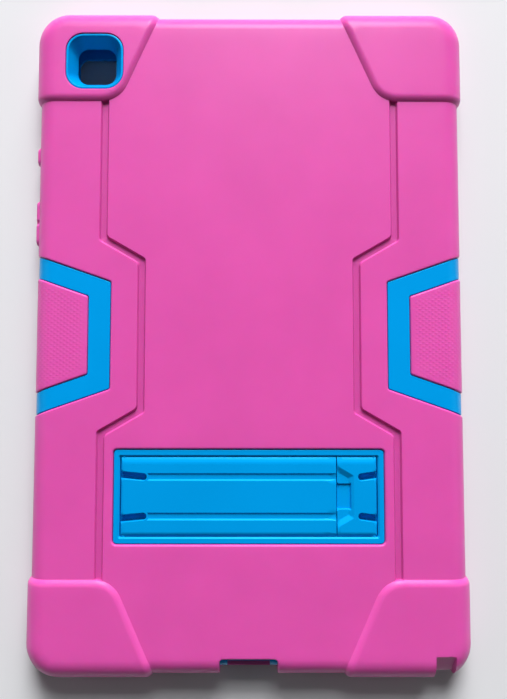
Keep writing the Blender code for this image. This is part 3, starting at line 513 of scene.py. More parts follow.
def band_corners(profile, inset, foot, corner):
    """Outline of the right C-shaped band in the flat, down to a height on the wall.

    Its long edges run y = y0 + slope (x - x0) in plan. They are followed over the back
    edge's curve, and from there they go straight down the wall.
    """
    stretch = math.hypot(1, BAND_SLOPE) * inset
    outer_x, inner_x = BAND_OUTER[0] + inset, BAND_INNER[0] - inset

    def outer_y(x):
        return BAND_OUTER[1] + BAND_SLOPE * (x - BAND_OUTER[0]) - stretch

    def inner_y(x):
        return BAND_INNER[1] + BAND_SLOPE * (x - BAND_INNER[0]) + stretch

    curve = CORE_X + 7.0 * np.sin(np.radians(np.arange(0, 91, 9)))
    curve = np.append(curve[:-1], BAND_SIDE)
    quarter = first_curve(profile)
    reach = np.minimum(curve - CORE_X, quarter[-1, 1])
    travel = np.interp(reach, quarter[:, 1], quarter[:, 0])
    upper = np.column_stack([CORE_X + travel, outer_y(curve)])
    lower = np.column_stack([CORE_X + travel, inner_y(curve)])
    end_x = CORE_X + travel_at(profile, foot)
    half = np.vstack([[(outer_x, 0.0), (outer_x, outer_y(outer_x))], upper,
                      [(end_x, upper[-1, 1]), (end_x, lower[-1, 1])], lower[::-1],
                      [(inner_x, inner_y(inner_x)), (inner_x, 0.0)]])
    radii = np.zeros(len(half))
    radii[1] = radii[len(upper) + 2] = radii[len(upper) + 3] = radii[-2] = corner
    full = np.vstack([half, (half * (1, -1))[::-1][1:-1]])
    radii = np.concatenate([radii, radii[::-1][1:-1]])
    return anticlockwise(rounded(full[::-1], list(radii[::-1]), 15.0))


def band_outlines(profile, inset, foot, corner=BAND_CORNER):
    """Flat outlines of the C-shaped bands at both sides."""
    outline = resample(band_corners(profile, inset, foot, corner), 1.4, True,
                       band_corners(SKIN_OUT, inset, foot, corner))
    return [outline, anticlockwise(outline * (-1, 1))]


def camera_outline(half_x, half_y, radius):
    """Rounded square round the rear camera."""
    return resample(slab(*CAMERA, half_x, half_y, radius), 1.2)


def on_wall(profile, side, shape):
    """Flat outline of a shape given by its places across and up a wall."""
    return anticlockwise(hang(profile, side, *np.transpose(shape)))


def wall_slab(profile, side, centre, height, half_across, half_up, radius):
    """Flat outline of a rounded rectangle that lies on a wall."""
    return on_wall(profile, side,
                   resample(slab(centre, height, half_across, half_up, radius), 0.8))


def port_outline(profile):
    """Flat outline of the charging opening, from the back edge down to the sill."""
    low, high = CORE_Y, CORE_Y + travel_at(profile, PORT_SILL)
    shape = slab(0.0, -(low + high) / 2, PORT_HALF, (high - low) / 2, PORT_CORNER)
    span = np.linspace(0, 1, 14)[1:-1, None]
    parts = []
    for k, point in enumerate(shape):
        parts.append(point[None])
        nearby = shape[(k + 1) % len(shape)]
        if np.linalg.norm(nearby - point) > 3:
            parts.append(point + (nearby - point) * span)
    return np.vstack(parts)


def speaker_outlines(profile, margin):
    """Flat outlines of the sound slots in both end walls."""
    return [wall_slab(profile, (0, end), side * SOUND_X, TABLET_MIDDLE, SOUND_HALF + margin,
                      SOUND_UP + margin, SOUND_UP - ROUND_END + margin)
            for end in (1, -1) for side in (1, -1)]


def jack_circle(radius):
    """Across and up places of a round hole for the headphone plug."""
    turn = np.radians(np.arange(0, 360, 15))
    return np.column_stack([JACK_X + radius * np.cos(turn),
                            TABLET_MIDDLE + radius * np.sin(turn)])


def notch_outline():
    """Flat outline of the scoop round the headphone hole, in the lower right bumper."""
    wall = raised(SKIN_OUT, 1.4)
    left, right = JACK_X - JACK_HALF, JACK_X + JACK_HALF
    ys = np.linspace(NOTCH_START, -129.8, 14)
    top = drape(wall, [(x, NOTCH_START) for x in np.linspace(right, left, 8)])
    left_line = drape(wall, np.column_stack([np.full(14, left), ys]))
    right_line = drape(wall, np.column_stack([np.full(14, right), ys]))
    heights = np.linspace(7.0, NOTCH_SILL, 5)
    left_wall = hang(wall, (0, -1), np.full(5, left), heights)
    right_wall = hang(wall, (0, -1), np.full(5, right), heights)
    sill = hang(wall, (0, -1), np.linspace(left, right, 8)[1:-1], np.full(6, NOTCH_SILL))
    line = np.vstack([top[1:-1], left_line[:-1], left_wall, sill, right_wall[::-1],
                      right_line[:-1][::-1]])
    return resample(anticlockwise(line), 1.0)


def notch_depth(place, normal):
    """How far a point sinks along its normal to reach the scoop's slope or back wall."""
    fall = np.abs(normal[:, 1])
    above = place[:, 2] - BUMPER_BACK + NOTCH_FALL * (NOTCH_START - place[:, 1])
    slope = above / np.maximum(normal[:, 2] + NOTCH_FALL * fall, 0.05)
    wall = (NOTCH_WALL - place[:, 1]) / np.maximum(fall, 0.05)
    return np.maximum(np.maximum(slope, wall), 0)


def jack_loop():
    """Flat outline of the headphone hole in the scoop's back wall.

    The scoop is sampled down one line, so that each height finds its own travel.
    """
    x, z = jack_circle(JACK_SKIN_R).T
    travel = np.linspace(2, 16.5, 300)
    grid = np.column_stack([np.full(300, 70.0), -(CORE_Y + travel)])
    made = wrap(raised(SKIN_OUT, 1.45), grid, lambda p, t, a, place, n: -notch_depth(place, n))
    fitted = np.interp(-z, -made[:, 2], travel)
    past = np.maximum(x - HEART[0], 0)
    depth = -NOTCH_WALL - HEART[1]
    length = np.hypot(past, depth)
    flat = np.column_stack([np.minimum(x, HEART[0]) + past / length * (CORE_R + fitted),
                            -(HEART[1] + depth / length * (CORE_R + fitted))])
    return anticlockwise(flat)


def button_shapes():
    """Wall outlines of the power button and of the waisted volume button."""
    low, high = VOLUME_Y
    middle, waist = (low + high) / 2, 1.0
    power = slab((POWER_Y[0] + POWER_Y[1]) / 2, TABLET_MIDDLE, (POWER_Y[1] - POWER_Y[0]) / 2,
                 2.6, 2.55)
    edge = [(low, -2.6), (middle - waist, -2.6), (middle, -1.6), (middle + waist, -2.6),
            (high, -2.6)]
    points = edge + [(y, -z) for y, z in edge[::-1]]
    volume = rounded([(y, TABLET_MIDDLE + z) for y, z in points], [2.55, 1, 1, 1, 2.55] * 2)
    return [on_wall(SKIN_OUT, (-1, 0), resample(shape, 0.7)) for shape in (power, volume)]


def make_skin(material, groove_width, groove_depth):
    """Rubber skin: body, bumpers, sunken lines, buttons, scoop and every opening.

    The body is the wall's section carried round the core. Each point then moves along its
    normal by lift = rise (1 - (1 - d/w)^2.1) at distance d inside a bumper or a button, by
    minus depth s^2 (3 - 2s) across a sunken line's edge, by minus the way to the scoop's
    slope or wall, and by minus r - sqrt(r^2 - (r - d)^2) at distance d from an opening.
    """
    bumpers = bumper_outlines()
    grooves = groove_outlines(groove_width)
    bands = band_outlines(SKIN_OUT, 0.0, BAND_FOOT)
    buttons = button_shapes()
    notch = notch_outline()
    tray = resample(slab(0, TRAY_Y, *TRAY_HALF, TRAY_CORNER), 2.0)
    camera = camera_outline(*CAMERA_HALF, CAMERA_CORNER)
    port = port_outline(SKIN_OUT)
    speakers = speaker_outlines(SKIN_OUT, 0.5)
    jack = jack_loop()
    rim = ring(SKIN_OUT[-1, 0])
    holes = [tray, camera, bands[0], bands[1], port, jack] + speakers
    edges = [0.9, 0.3, 0.7, 0.7, 0.6, 0.0] + [0.3] * 4
    rows = []
    for hole, radius in zip(holes, edges):
        if radius:
            rows += [beside(hole, -radius * share) for share in (0.07, 0.3, 0.6, 1.0)]
    for outline in bumpers:
        rows += [beside(outline, d) for d in STEP_ROWS]
    for outline in buttons:
        rows += [beside(outline, d) for d in BUTTON_ROWS]
    for outline in grooves:
        rows += [beside(outline, d) for d in GROOVE_ROWS]
    rows += [notch, beside(notch, 0.12)]
    rows += [ring(v) for v in (SKIN_OUT[-1, 0] - 0.2, SKIN_OUT[-1, 0] - 0.5)]

    # Depths of the sunken lines and of the headphone scoop, kept for the painted shade that
    # darkens the rubber's colour there
    painted_shade_depths = []

    def lift(points, travel, angle, place, normal):
        rise = np.interp(np.degrees(angle), [0, 90, 180], BUMPER_RISE)
        sunk = np.zeros(len(points))
        for outline in grooves:
            depth = depth_in(points, outline)
            ramp = np.clip((depth + 0.2) / 0.75, 0, 1)
            sunk = np.maximum(sunk, groove_depth * ramp ** 2 * (3 - 2 * ramp))
        total = -sunk
        for outline in bumpers:
            inside = depth_in(points, outline, 4.0)
            sunk = sunk * np.clip(1 - inside / 0.12, 0, 1)
            total = np.where(inside > 0, rise * step_up(inside, STEP_ROWS[-1]) - sunk,
                             total)
        for outline in buttons:
            inside = depth_in(points, outline)
            total = np.where(inside > 0,
                             total + BUTTON_RISE * step_up(inside, BUTTON_ROWS[-1]), total)
        inside = depth_in(points, notch)
        deep = notch_depth(place + normal * total[:, None], normal)
        deep = deep * np.clip(inside / 0.12, 0, 1)
        total = total - deep
        # Painted shade: the greater of a line's and the scoop's depth is kept to darken the
        # colour there
        painted_shade_depths.append(np.maximum(sunk, deep))
        for hole, radius in zip(holes, edges):
            if radius:
                total = total - edge_drop(points, hole, radius, -1)
        return total

    flat, faces, loops = triangulate([rim] + holes, rows, backdrop_points(SKIN_OUT))
    outside = (np.maximum(wrap(SKIN_OUT, flat, lift), (-1e3, -1e3, 0)), faces, loops)
    unrolled = np.column_stack([flat, flat[:, 0] * 0]) * MM

    inner_jack = on_wall(SKIN_IN, (0, -1), jack_circle(JACK_SKIN_R))
    inner_holes = [tray, camera] + band_outlines(SKIN_IN, 0.0, BAND_FOOT)
    inner_holes += [port_outline(SKIN_IN), inner_jack] + speaker_outlines(SKIN_IN, 0.5)
    nubs = [wall_slab(SKIN_IN, (-1, 0), y, TABLET_MIDDLE, half, 1.1, 0.55)
            for y, half in ((71.95, 2.85), (50.0, 3.1), (40.0, 3.1))]

    def inner_lift(points, travel, angle, place, normal):
        total = np.zeros(len(points))
        for nub in nubs:
            total -= 1.4 * np.clip(depth_in(points, nub) / 0.1, 0, 1)
        return total

    inner_rows = [ring(SKIN_IN[-1, 0] - 0.2)]
    for nub in nubs:
        inner_rows += [nub, beside(nub, 0.1)]
    flat, faces, loops = triangulate([ring(SKIN_IN[-1, 0])] + inner_holes, inner_rows,
                                     backdrop_points(SKIN_IN, 6.0))
    inside = (wrap(SKIN_IN, flat, inner_lift), faces, loops)
    mesh = solid_mesh("silicone_skin_surface", outside, inside)

    # Grip pads lie inside the bands, on the back and down the wall to a height of 5
    spot = np.abs(np.vstack([outside[0], inside[0]]))
    end_x, side_y = BAND_INNER
    edge = np.minimum(spot[:, 0] - end_x, side_y + BAND_SLOPE * (spot[:, 0] - end_x)
                      - spot[:, 1]) - 0.5
    edge = np.minimum(edge, spot[:, 2] - 5)
    place = mesh.attributes.new("unrolled", "FLOAT_VECTOR", "POINT")
    place.data.foreach_set("vector", np.vstack([unrolled, inside[0] * MM]).ravel())
    # Painted shade: the sunk attribute darkens the rubber in the sunken lines and the scoop, by
    # their depth as a share of the lines' depth
    painted_shade_share = np.concatenate([np.clip(painted_shade_depths[0] / groove_depth, 0, 1),
                            np.zeros(len(inside[0]))])
    for label, value in (("pad", np.clip(edge / 0.8, 0, 1)), ("sunk", painted_shade_share)):
        mesh.attributes.new(label, "FLOAT", "POINT").data.foreach_set("value", value)
    return finish_piece("silicone_skin_surface", mesh, material, "case",
                        "silicone_skin")


def box_cutter(name, low, high):
    """Plain cutter block between two corners."""
    grid = np.stack(np.meshgrid(*zip(low, high), indexing="ij"), axis=-1).reshape(-1, 3)
    faces = [(0, 1, 3, 2), (4, 6, 7, 5), (0, 4, 5, 1), (2, 3, 7, 6), (0, 2, 6, 4), (1, 5, 7, 3)]
    return in_scene(name, plain_mesh(name, grid, faces))


def wall_cutter(name, outline, low, high, axis):
    """Cutter: an outline given on a wall, carried through it along X or Y."""
    count = len(outline)
    levels = np.repeat((low, high), count)
    across, up = np.tile(outline, (2, 1)).T
    points = np.column_stack([levels, across, up] if axis == 0 else [across, levels, up])
    index = np.arange(count)
    after = np.roll(index, -1)
    sides = np.column_stack([index, after, after + count, index + count])
    faces = sides.tolist() + [index[::-1].tolist(), (index + count).tolist()]
    return in_scene(name, plain_mesh(name, points, faces))


def outward(mesh):
    """Turn a closed mesh's faces outwards."""
    bm = bmesh.new()
    bm.from_mesh(mesh)
    bmesh.ops.recalc_face_normals(bm, faces=bm.faces)
    bm.to_mesh(mesh)
    bm.free()


def cut_mesh(mesh, cutters):
    """The mesh with the cutters taken out of it."""
    holder = in_scene("holder", mesh)
    for cutter in cutters:
        outward(cutter.data)
        step = holder.modifiers.new(cutter.name, "BOOLEAN")
        step.operation = "DIFFERENCE"
        step.solver = "EXACT"
        step.object = cutter
    bpy.context.view_layer.update()
    depsgraph = bpy.context.evaluated_depsgraph_get()
    result = bpy.data.meshes.new_from_object(holder.evaluated_get(depsgraph))
    result.name = mesh.name
    bpy.data.objects.remove(holder)
    for cutter in cutters:
        bpy.data.objects.remove(cutter)
    return result


def port_cutters():
    """Cutters of the charging port and the headphone hole, through shell and frame."""
    return [box_cutter("port", (-8.1, -130, -1), (8.1, -122.7, 20)),
            wall_cutter("jack", jack_circle(JACK_SHELL_R), -127, -117, 1)]


def make_shell(material):
    """Hard shell: plate, tray of the stand, band ribs, camera funnel and openings.

    The plate is the shell's section carried round the core. The tray, the ribs and the
    funnel stand up from it by their rise, with edges rounded by r - sqrt(r^2 - (r - d)^2).
    The tray's inner edge falls by slope times distance, and its floor lies below the plate.
    """
    half_x, half_y = (half - PART_GAP for half in TRAY_HALF)
    tray = resample(slab(0, TRAY_Y, half_x, half_y, TRAY_CORNER - PART_GAP), 2.0)
    recess = resample(slab(0, TRAY_Y, 49.0, 15.1, 0.35), 2.0)
    ribs = band_outlines(raised(SHELL_OUT, RIB_RISE[1]), PART_GAP, BAND_FOOT + PART_GAP,
                         BAND_CORNER - PART_GAP)
    funnel = camera_outline(*(half - 0.1 for half in CAMERA_HALF), CAMERA_CORNER - 0.1)
    mouth, throat = np.array((10.25, 10.15)), np.array((7.6, 7.3))
    hole = camera_outline(*mouth, 5.8)
    hole_in = (hole - CAMERA) * (throat / mouth) + CAMERA
    rows = []
    for outline in [tray] + ribs:
        rows += [beside(outline, d) for d in (0.0, 0.05, 0.1, 0.2, 0.35)]
    rows += [beside(recess, d) for d in (-TRAY_BEVEL, -TRAY_BEVEL / 2, 0.0, 0.05)]
    rows += [beside(funnel, d) for d in (0.0, 0.05, 0.12, 0.3)]
    rows += [beside(hole, -d) for d in (0.04, 0.12, 0.25)]

    def lift(points, travel, angle, place, normal):
        total = np.zeros(len(points))
        inside = depth_in(points, tray)
        deep = depth_in(points, recess)
        up = plateau(inside, TRAY_RISE, 0.3)
        up -= np.clip(TRAY_BEVEL + deep, 0, TRAY_BEVEL) * BEVEL_SLOPE * (deep < 0)
        floor = np.clip(deep / PATCH_WALL, 0, 1)
        total = np.where(inside > 0, np.maximum(up, 0), total)
        brink = TRAY_RISE - TRAY_BEVEL * BEVEL_SLOPE
        total = np.where(deep >= 0, brink * (1 - floor) - RECESS_DROP * floor, total)
        for rib in ribs:
            inside = depth_in(points, rib)
            up = plateau(inside, np.interp(np.degrees(angle), [0, 90], RIB_RISE), 0.3)
            total = np.where(inside > 0, np.maximum(up, 0), total)
        inside = depth_in(points, funnel)
        up = plateau(inside, FUNNEL_RISE, 0.25) - edge_drop(points, hole, 0.25, -1)
        return np.where(inside > 0, np.maximum(up, 0), total)

    rim = ring(SHELL_OUT[-1, 0])
    flat, faces, loops = triangulate([rim, hole], rows, backdrop_points(SHELL_OUT))
    outside = (wrap(SHELL_OUT, flat, lift), faces, loops)
    flat, faces, loops = triangulate([ring(SHELL_IN[-1, 0]), hole_in], [],
                                     backdrop_points(SHELL_IN, 6.0))
    inside = (wrap(SHELL_IN, flat, lambda p, *rest: np.zeros(len(p))), faces, loops)
    mesh = solid_mesh("rear_shell_surface", outside, inside)
    pill = slab(0, TABLET_MIDDLE, SOUND_HALF, SOUND_UP, SOUND_UP - ROUND_END)
    cutters = port_cutters()
    for end in (1, -1):
        for side in (1, -1):
            cutters.append(wall_cutter("sound_slot", pill + (side * SOUND_X, 0),
                                       *sorted((end * 127, end * 123.2)), 1))
    for low, high in (POWER_Y, VOLUME_Y):
        shape = slab((low + high) / 2, TABLET_MIDDLE, (high - low) / 2, 1.7, 1.69)
        cutters.append(wall_cutter("button_slot", shape, -82, -78.4, 0))
    mesh = cut_mesh(mesh, cutters)
    return finish_piece("rear_shell_surface", mesh, material, "case",
                        "rear_shell", 35.0)


def sheet_in_plan(borders, rows, pitch, height):
    """Sheet over a plan: points (x, y, height(x, y)) on triangles between the borders."""
    low, high = borders[0].min(axis=0), borders[0].max(axis=0)
    grid = np.stack(np.meshgrid(*(np.arange(a + pitch / 2, b, pitch)
                                  for a, b in zip(low, high))), axis=-1).reshape(-1, 2)
    flat, faces, loops = triangulate(borders, rows, grid)
    return np.column_stack([flat, height(flat)]), faces, loops


def make_frame(material, window_x, window_y):
    """Frame that closes the front: a border with a skirt and the front camera's notch.

    It is the plan between the outer ring and the window, carried from FRAME_FRONT to
    FRAME_BACK, plus the skirt's rise outside its line. Edges drop r - sqrt(r^2 - (r - d)^2).
    """
    outer = ring(4.2)
    notch_deep, notch_half = 4.2, 6.0
    points = [(-window_x, -window_y), (window_x, -window_y), (window_x, window_y),
              (-window_x, window_y), (-window_x, notch_half),
              (-window_x - notch_deep, notch_half), (-window_x - notch_deep, -notch_half),
              (-window_x, -notch_half)]
    window = resample(rounded(points, [3.6, 3.6, 3.6, 3.6, 0.8, 3.2, 3.2, 0.8], 9.0), 3.0)
    skirt = ring(3.55)
    front_rows = [beside(window, -d) for d in (0.05, 0.2, 0.4)]
    front_rows += [beside(outer, d) for d in (0.05, 0.2, 0.4)]
    back_rows = [beside(window, -d) for d in (0.03, 0.12, 0.3)]
    back_rows += [skirt, beside(skirt, 0.03), beside(outer, 0.05), beside(outer, 0.15)]

    def front(points):
        return (FRAME_FRONT + edge_drop(points, window, 0.4, -1)
                + edge_drop(points, outer, 0.4))

    def back(points):
        rise = np.clip(-depth_in(points, skirt) / 0.03 + 1, 0, 1) * SKIRT_RISE
        return (FRAME_BACK + rise - edge_drop(points, window, 0.3, -1)
                - edge_drop(points, outer, 0.15))

    top = sheet_in_plan([outer, window], back_rows, 6.0, back)
    bottom = sheet_in_plan([outer, window], front_rows, 6.0, front)
    mesh = cut_mesh(solid_mesh("front_frame_surface", top, bottom), port_cutters())
    return finish_piece("front_frame_surface", mesh, material, "case",
                        "front_frame", 35.0)


def leaf_outline(free_x, slot_length, side):
    """Plan of a leaf with two slots open at its hinge end, as if hinged at +X."""
    end = HINGE_X + HINGE_R
    root = end - slot_length + SLOT_HALF

    def slot(sign):
        turn = np.radians(np.arange(-90, -271, -20))
        arc = np.column_stack([root + SLOT_HALF * np.cos(turn),
                               SLOT_ROOT_Y + SLOT_HALF * np.sin(turn)])
        line = np.vstack([[(end, SLOT_OPEN_Y - SLOT_HALF)], arc,
                          [(end, SLOT_OPEN_Y + SLOT_HALF)]])
        return line * (1, sign)

    upper, lower = slot(1), slot(-1)
    outline = np.vstack([[(free_x, -LEAF_HALF), (end, -LEAF_HALF)], lower[::-1],
                         upper, [(end, LEAF_HALF), (free_x, LEAF_HALF)]])
    outline = resample(outline, 1.2)
    if side < 0:
        outline = outline * (-1, 1)
    return anticlockwise(outline) + (0, TRAY_Y)


def channel_features(depth):
    """The long leaf's two shallow channels, as (outline, depth, width of the ramp)."""
    low, high = -38.6, 34.5
    return [(resample(slab((low + high) / 2, TRAY_Y + sign * SLOT_ROOT_Y, (high - low) / 2,
                           1.45), 3.0), depth, 0.6) for sign in (1, -1)]


def scoop_features(depth):
    """The short leaf's fingertip scoop and the deeper pocket in it, in the same form."""
    low = 32.5
    mouth = np.array([(low, -12.2), (39.9, -8.0), (39.9, 8.0), (low, 12.2)])
    scoop = rounded((mouth + (0, TRAY_Y)).tolist(), [0, 1.0, 1.0, 0])
    pocket = slab(low + 3.3, TRAY_Y, 3.3, 5.2, 0.6)
    return [(resample(scoop, 1.0), depth, 2.0), (resample(pocket, 1.0), 1.6, 0.6)]


def make_leaf(name, free_x, slot_length, side, features, material, body, node):
    """Leaf of the stand: plate with chamfered long edges, a round hinge end and slots.

    Its top is LEAF_BACK less the greatest of its edge's rounding, its chamfer, which goes
    with the share of the way to the long edge to the power 1.8 or 2, and its hinge end,
    r - sqrt(r^2 - x^2) past the hinge's line, and less depth d / w in each feature.
    """
    outline = leaf_outline(side * free_x, slot_length, side)
    hinge = side * HINGE_X
    edge_rows = [beside(outline, d) for d in (0.03, 0.1, 0.22)]
    chamfer_rows, hinge_rows = [], []
    low_x, high_x = sorted((free_x, side * 48.6))
    for sign, share in ((1, 0.0), (-1, 0.35), (1, 0.3), (-1, 0.6), (1, 0.65), (-1, 0.82)):
        y = TRAY_Y + sign * (LEAF_FLAT + share * (LEAF_HALF - LEAF_FLAT))
        chamfer_rows.append(resample(np.array([(low_x, y - 0.1), (high_x, y - 0.1),
                                               (high_x, y + 0.1), (low_x, y + 0.1)]), 3.0))
    for degrees in (0, 20, 40, 55, 70, 82):
        x = hinge + side * HINGE_R * math.sin(math.radians(degrees))
        hinge_rows.append(resample(np.array([(x, TRAY_Y - 14.7), (x, TRAY_Y + 14.7)]), 1.5,
                                   False))
    rows = edge_rows + chamfer_rows + hinge_rows
    for shape, depth, width in features:
        rows += [shape, beside(shape, width / 2), beside(shape, width)]

    def round_end(points):
        past = np.clip((points[:, 0] - hinge) * side, 0, HINGE_R)
        return HINGE_R - np.sqrt(HINGE_R ** 2 - past ** 2)

    def top(points):
        edge = np.maximum(depth_in(points, outline), 0)
        away = np.abs(points[:, 1] - TRAY_Y)
        high = np.clip((away - LEAF_FLAT) / (LEAF_HALF - LEAF_FLAT), 0, 1)
        low = np.clip((away - LEAF_LOW_FLAT) / (LEAF_HALF - LEAF_LOW_FLAT), 0, 1)
        chamfer = np.where(points[:, 1] > TRAY_Y, 0.68 * high ** 1.8, 0.9 * low ** 2)
        sunk = np.zeros(len(points))
        for shape, depth, width in features:
            sunk = np.maximum(sunk, depth * np.clip(depth_in(points, shape) / width, 0, 1))
        drop = np.maximum(round_over(edge, 0.28), round_end(points))
        return LEAF_BACK - np.maximum(drop, chamfer + round_over(edge, 0.15)) - sunk * (drop < 1)

    def bottom(points):
        return LEAF_FRONT + np.maximum(edge_drop(points, outline, 0.2), round_end(points))

    upper = sheet_in_plan([outline], rows, 3.0, top)
    lower = sheet_in_plan([outline], edge_rows + hinge_rows, 3.0, bottom)
    return finish_piece(name, solid_mesh(name, upper, lower), material, body,
                        node, 25.0)


def node_ramp(tree, stops):
    """Colour ramp node with the given (position, value) stops."""
    ramp = tree.nodes.new("ShaderNodeValToRGB")
    ramp.color_ramp.elements[0].position = stops[0][0]
    ramp.color_ramp.elements[1].position = stops[-1][0]
    for element, (_, value) in zip(ramp.color_ramp.elements, (stops[0], stops[-1])):
        element.color = value
    for position, value in stops[1:-1]:
        ramp.color_ramp.elements.new(position).color = value
    return ramp


def noise(tree, scale, detail):
    """Noise on a piece's Object coordinates."""
    place = tree.nodes.new("ShaderNodeTexCoord")
    made = tree.nodes.new("ShaderNodeTexNoise")
    made.inputs["Scale"].default_value = scale
    made.inputs["Detail"].default_value = detail
    tree.links.new(place.outputs["Object"], made.inputs["Vector"])
    return made.outputs["Fac"]


def stored(tree, name):
    """Node of an attribute that the mesh carries."""
    made = tree.nodes.new("ShaderNodeAttribute")
    made.attribute_name = name
    return made


def reckon(tree, operation, first, second):
    """Result of a math operation on two sockets."""
    made = tree.nodes.new("ShaderNodeMath")
    made.operation = operation
    tree.links.new(first, made.inputs[0])
    tree.links.new(second, made.inputs[1])
    return made.outputs["Value"]


def press(tree, height, strength, distance, below=None):
    """Bump of a height pattern, over another bump where one is given."""
    made = tree.nodes.new("ShaderNodeBump")
    made.inputs["Strength"].default_value = strength
    made.inputs["Distance"].default_value = distance
    tree.links.new(height, made.inputs["Height"])
    if below:
        tree.links.new(below, made.inputs["Normal"])
    return made.outputs["Normal"]


def knurl_pattern(tree):
    """Two crossed waves on the pads: the product of both waves and the pads' mask."""
    unrolled = stored(tree, "unrolled")
    waves = []
    for lean in (0.6, -0.6):
        turned = tree.nodes.new("ShaderNodeMapping")
        turned.inputs["Rotation"].default_value = (0.0, 0.0, math.pi / 2 + lean)
        tree.links.new(unrolled.outputs["Vector"], turned.inputs["Vector"])
        wave = tree.nodes.new("ShaderNodeTexWave")
        wave.inputs["Scale"].default_value = 224.0
        tree.links.new(turned.outputs["Vector"], wave.inputs["Vector"])
        waves.append(wave.outputs["Fac"])
    crossed = reckon(tree, "MULTIPLY", *waves)
    return reckon(tree, "MULTIPLY", crossed, stored(tree, "pad").outputs["Fac"])


def principled(name, tone, stops, bump, values):
    """Material of a colour ramp over a tone, with a bump and plain shader values.

    tone and bump are functions of the node tree, because it exists only here.
    """
    material = bpy.data.materials.new(name)
    material.use_nodes = True
    tree = material.node_tree
    shader = tree.nodes["Principled BSDF"]
    ramp = node_ramp(tree, stops)
    tree.links.new(tone(tree), ramp.inputs["Fac"])
    tree.links.new(ramp.outputs["Color"], shader.inputs["Base Color"])
    tree.links.new(bump(tree), shader.inputs["Normal"])
    for socket, value in values.items():
        shader.inputs[socket].default_value = value
    return material


def matte_silicone(colour, deep):
    """Matte silicone: fine grain, knurled pads, painted shade in sunken lines and the scoop,
    soft sheen.
    """
    def tone(tree):
        # Painted shade: the sunk attribute pulls the tone down, so the sunken lines and the
        # scoop take the darkest stop
        return reckon(tree, "SUBTRACT", noise(tree, 45.0, 4.0),
                      stored(tree, "sunk").outputs["Fac"])

    def bump(tree):
        grain = press(tree, noise(tree, 2600.0, 2.0), 0.25, 0.00006)
        return press(tree, knurl_pattern(tree), 0.3, 0.00015, grain)

    return principled("matte_silicone", tone,
                      # The stop at 0.0 is painted shade; the stops at 0.3 and 0.7 give tone that
                      # differs at random
                      [(0.0, darker(deep, 0.86)), (0.3, deep), (0.7, colour)], bump,
                      {"Roughness": 0.4, "Specular IOR Level": 0.75,
                       "Specular Tint": (0.85, 0.9, 1.0, 1.0), "Subsurface Weight": 0.3,
                       "Subsurface Radius": (1.0, 0.12, 0.4), "Subsurface Scale": 0.0016})


def satin_plastic(name, colour, deep):
    """Satin moulded plastic: fine spark texture and faint flow marks."""
    return principled(name, lambda tree: noise(tree, 30.0, 3.0), [(0.3, deep), (0.7, colour)],
                      lambda tree: press(tree, noise(tree, 1800.0, 2.0), 0.2, 0.00004),
                      {"Roughness": 0.31, "Specular IOR Level": 0.75,
                       "Specular Tint": (0.08, 0.85, 1.0, 1.0)})


def linear(red, green, blue):
    """Blender's linear values of a screen colour given as 0 to 255 a channel."""
    share = np.array((red, green, blue)) / 255
    value = np.where(share <= 0.04045, share / 12.92, ((share + 0.055) / 1.055) ** 2.4)
    return tuple(float(v) for v in value) + (1.0,)


def make_pins(name, hinge, radius, material, body, node):
    """Round pins at both ends of a leaf: a circle carried along Y, with a small chamfer."""
    turn = np.radians(np.arange(0, 360, 15))
    count = len(turn)
    index = np.arange(count)
    after = np.roll(index, -1)
    radii = np.array((radius, radius, radius - 0.15))[:, None]
    pieces = []
    for sign, label in ((1, "upper"), (-1, "lower")):
        ys = TRAY_Y + sign * np.array((12.9, 15.75, 15.9))[:, None]
        points = np.stack([hinge + radii * np.cos(turn), ys + turn * 0,
                           HINGE_Z + radii * np.sin(turn)], axis=-1).reshape(-1, 3)
        faces = np.vstack([np.column_stack([index, after, after + count, index + count]) + start
                           for start in (0, count)]).tolist()
        faces += [index[::-1].tolist(), (index + 2 * count).tolist()]
        mesh = plain_mesh(name + "_" + label, points, faces)
        outward(mesh)
        pieces.append(finish_piece(name + "_" + label, mesh, material, body,
                                   node))
    return pieces


def in_mm(length):
    """A stored length in millimetres, without the rounding of single precision."""
    return round(length / MM, 4)


def darker(colour, share):
    """A slightly darker version of a colour."""
    return tuple(v * share for v in list(colour)[:3]) + (1.0,)


def length_property(name, description, default):
    """Property of a length in metres."""
    return FloatProperty(name=name, description=description, default=default, min=0.0,
                         precision=5, subtype="DISTANCE", unit="LENGTH")


def power_property(name, description, default):
    """Property of a lamp's power in watts."""
    return FloatProperty(name=name, description=description, default=default, min=0.0,
                         subtype="POWER", unit="POWER")


def colour_property(name, description, default):
    """Property of a colour with alpha."""
    return FloatVectorProperty(name=name, description=description, default=default,
                               subtype="COLOR", size=4, min=0, max=1)


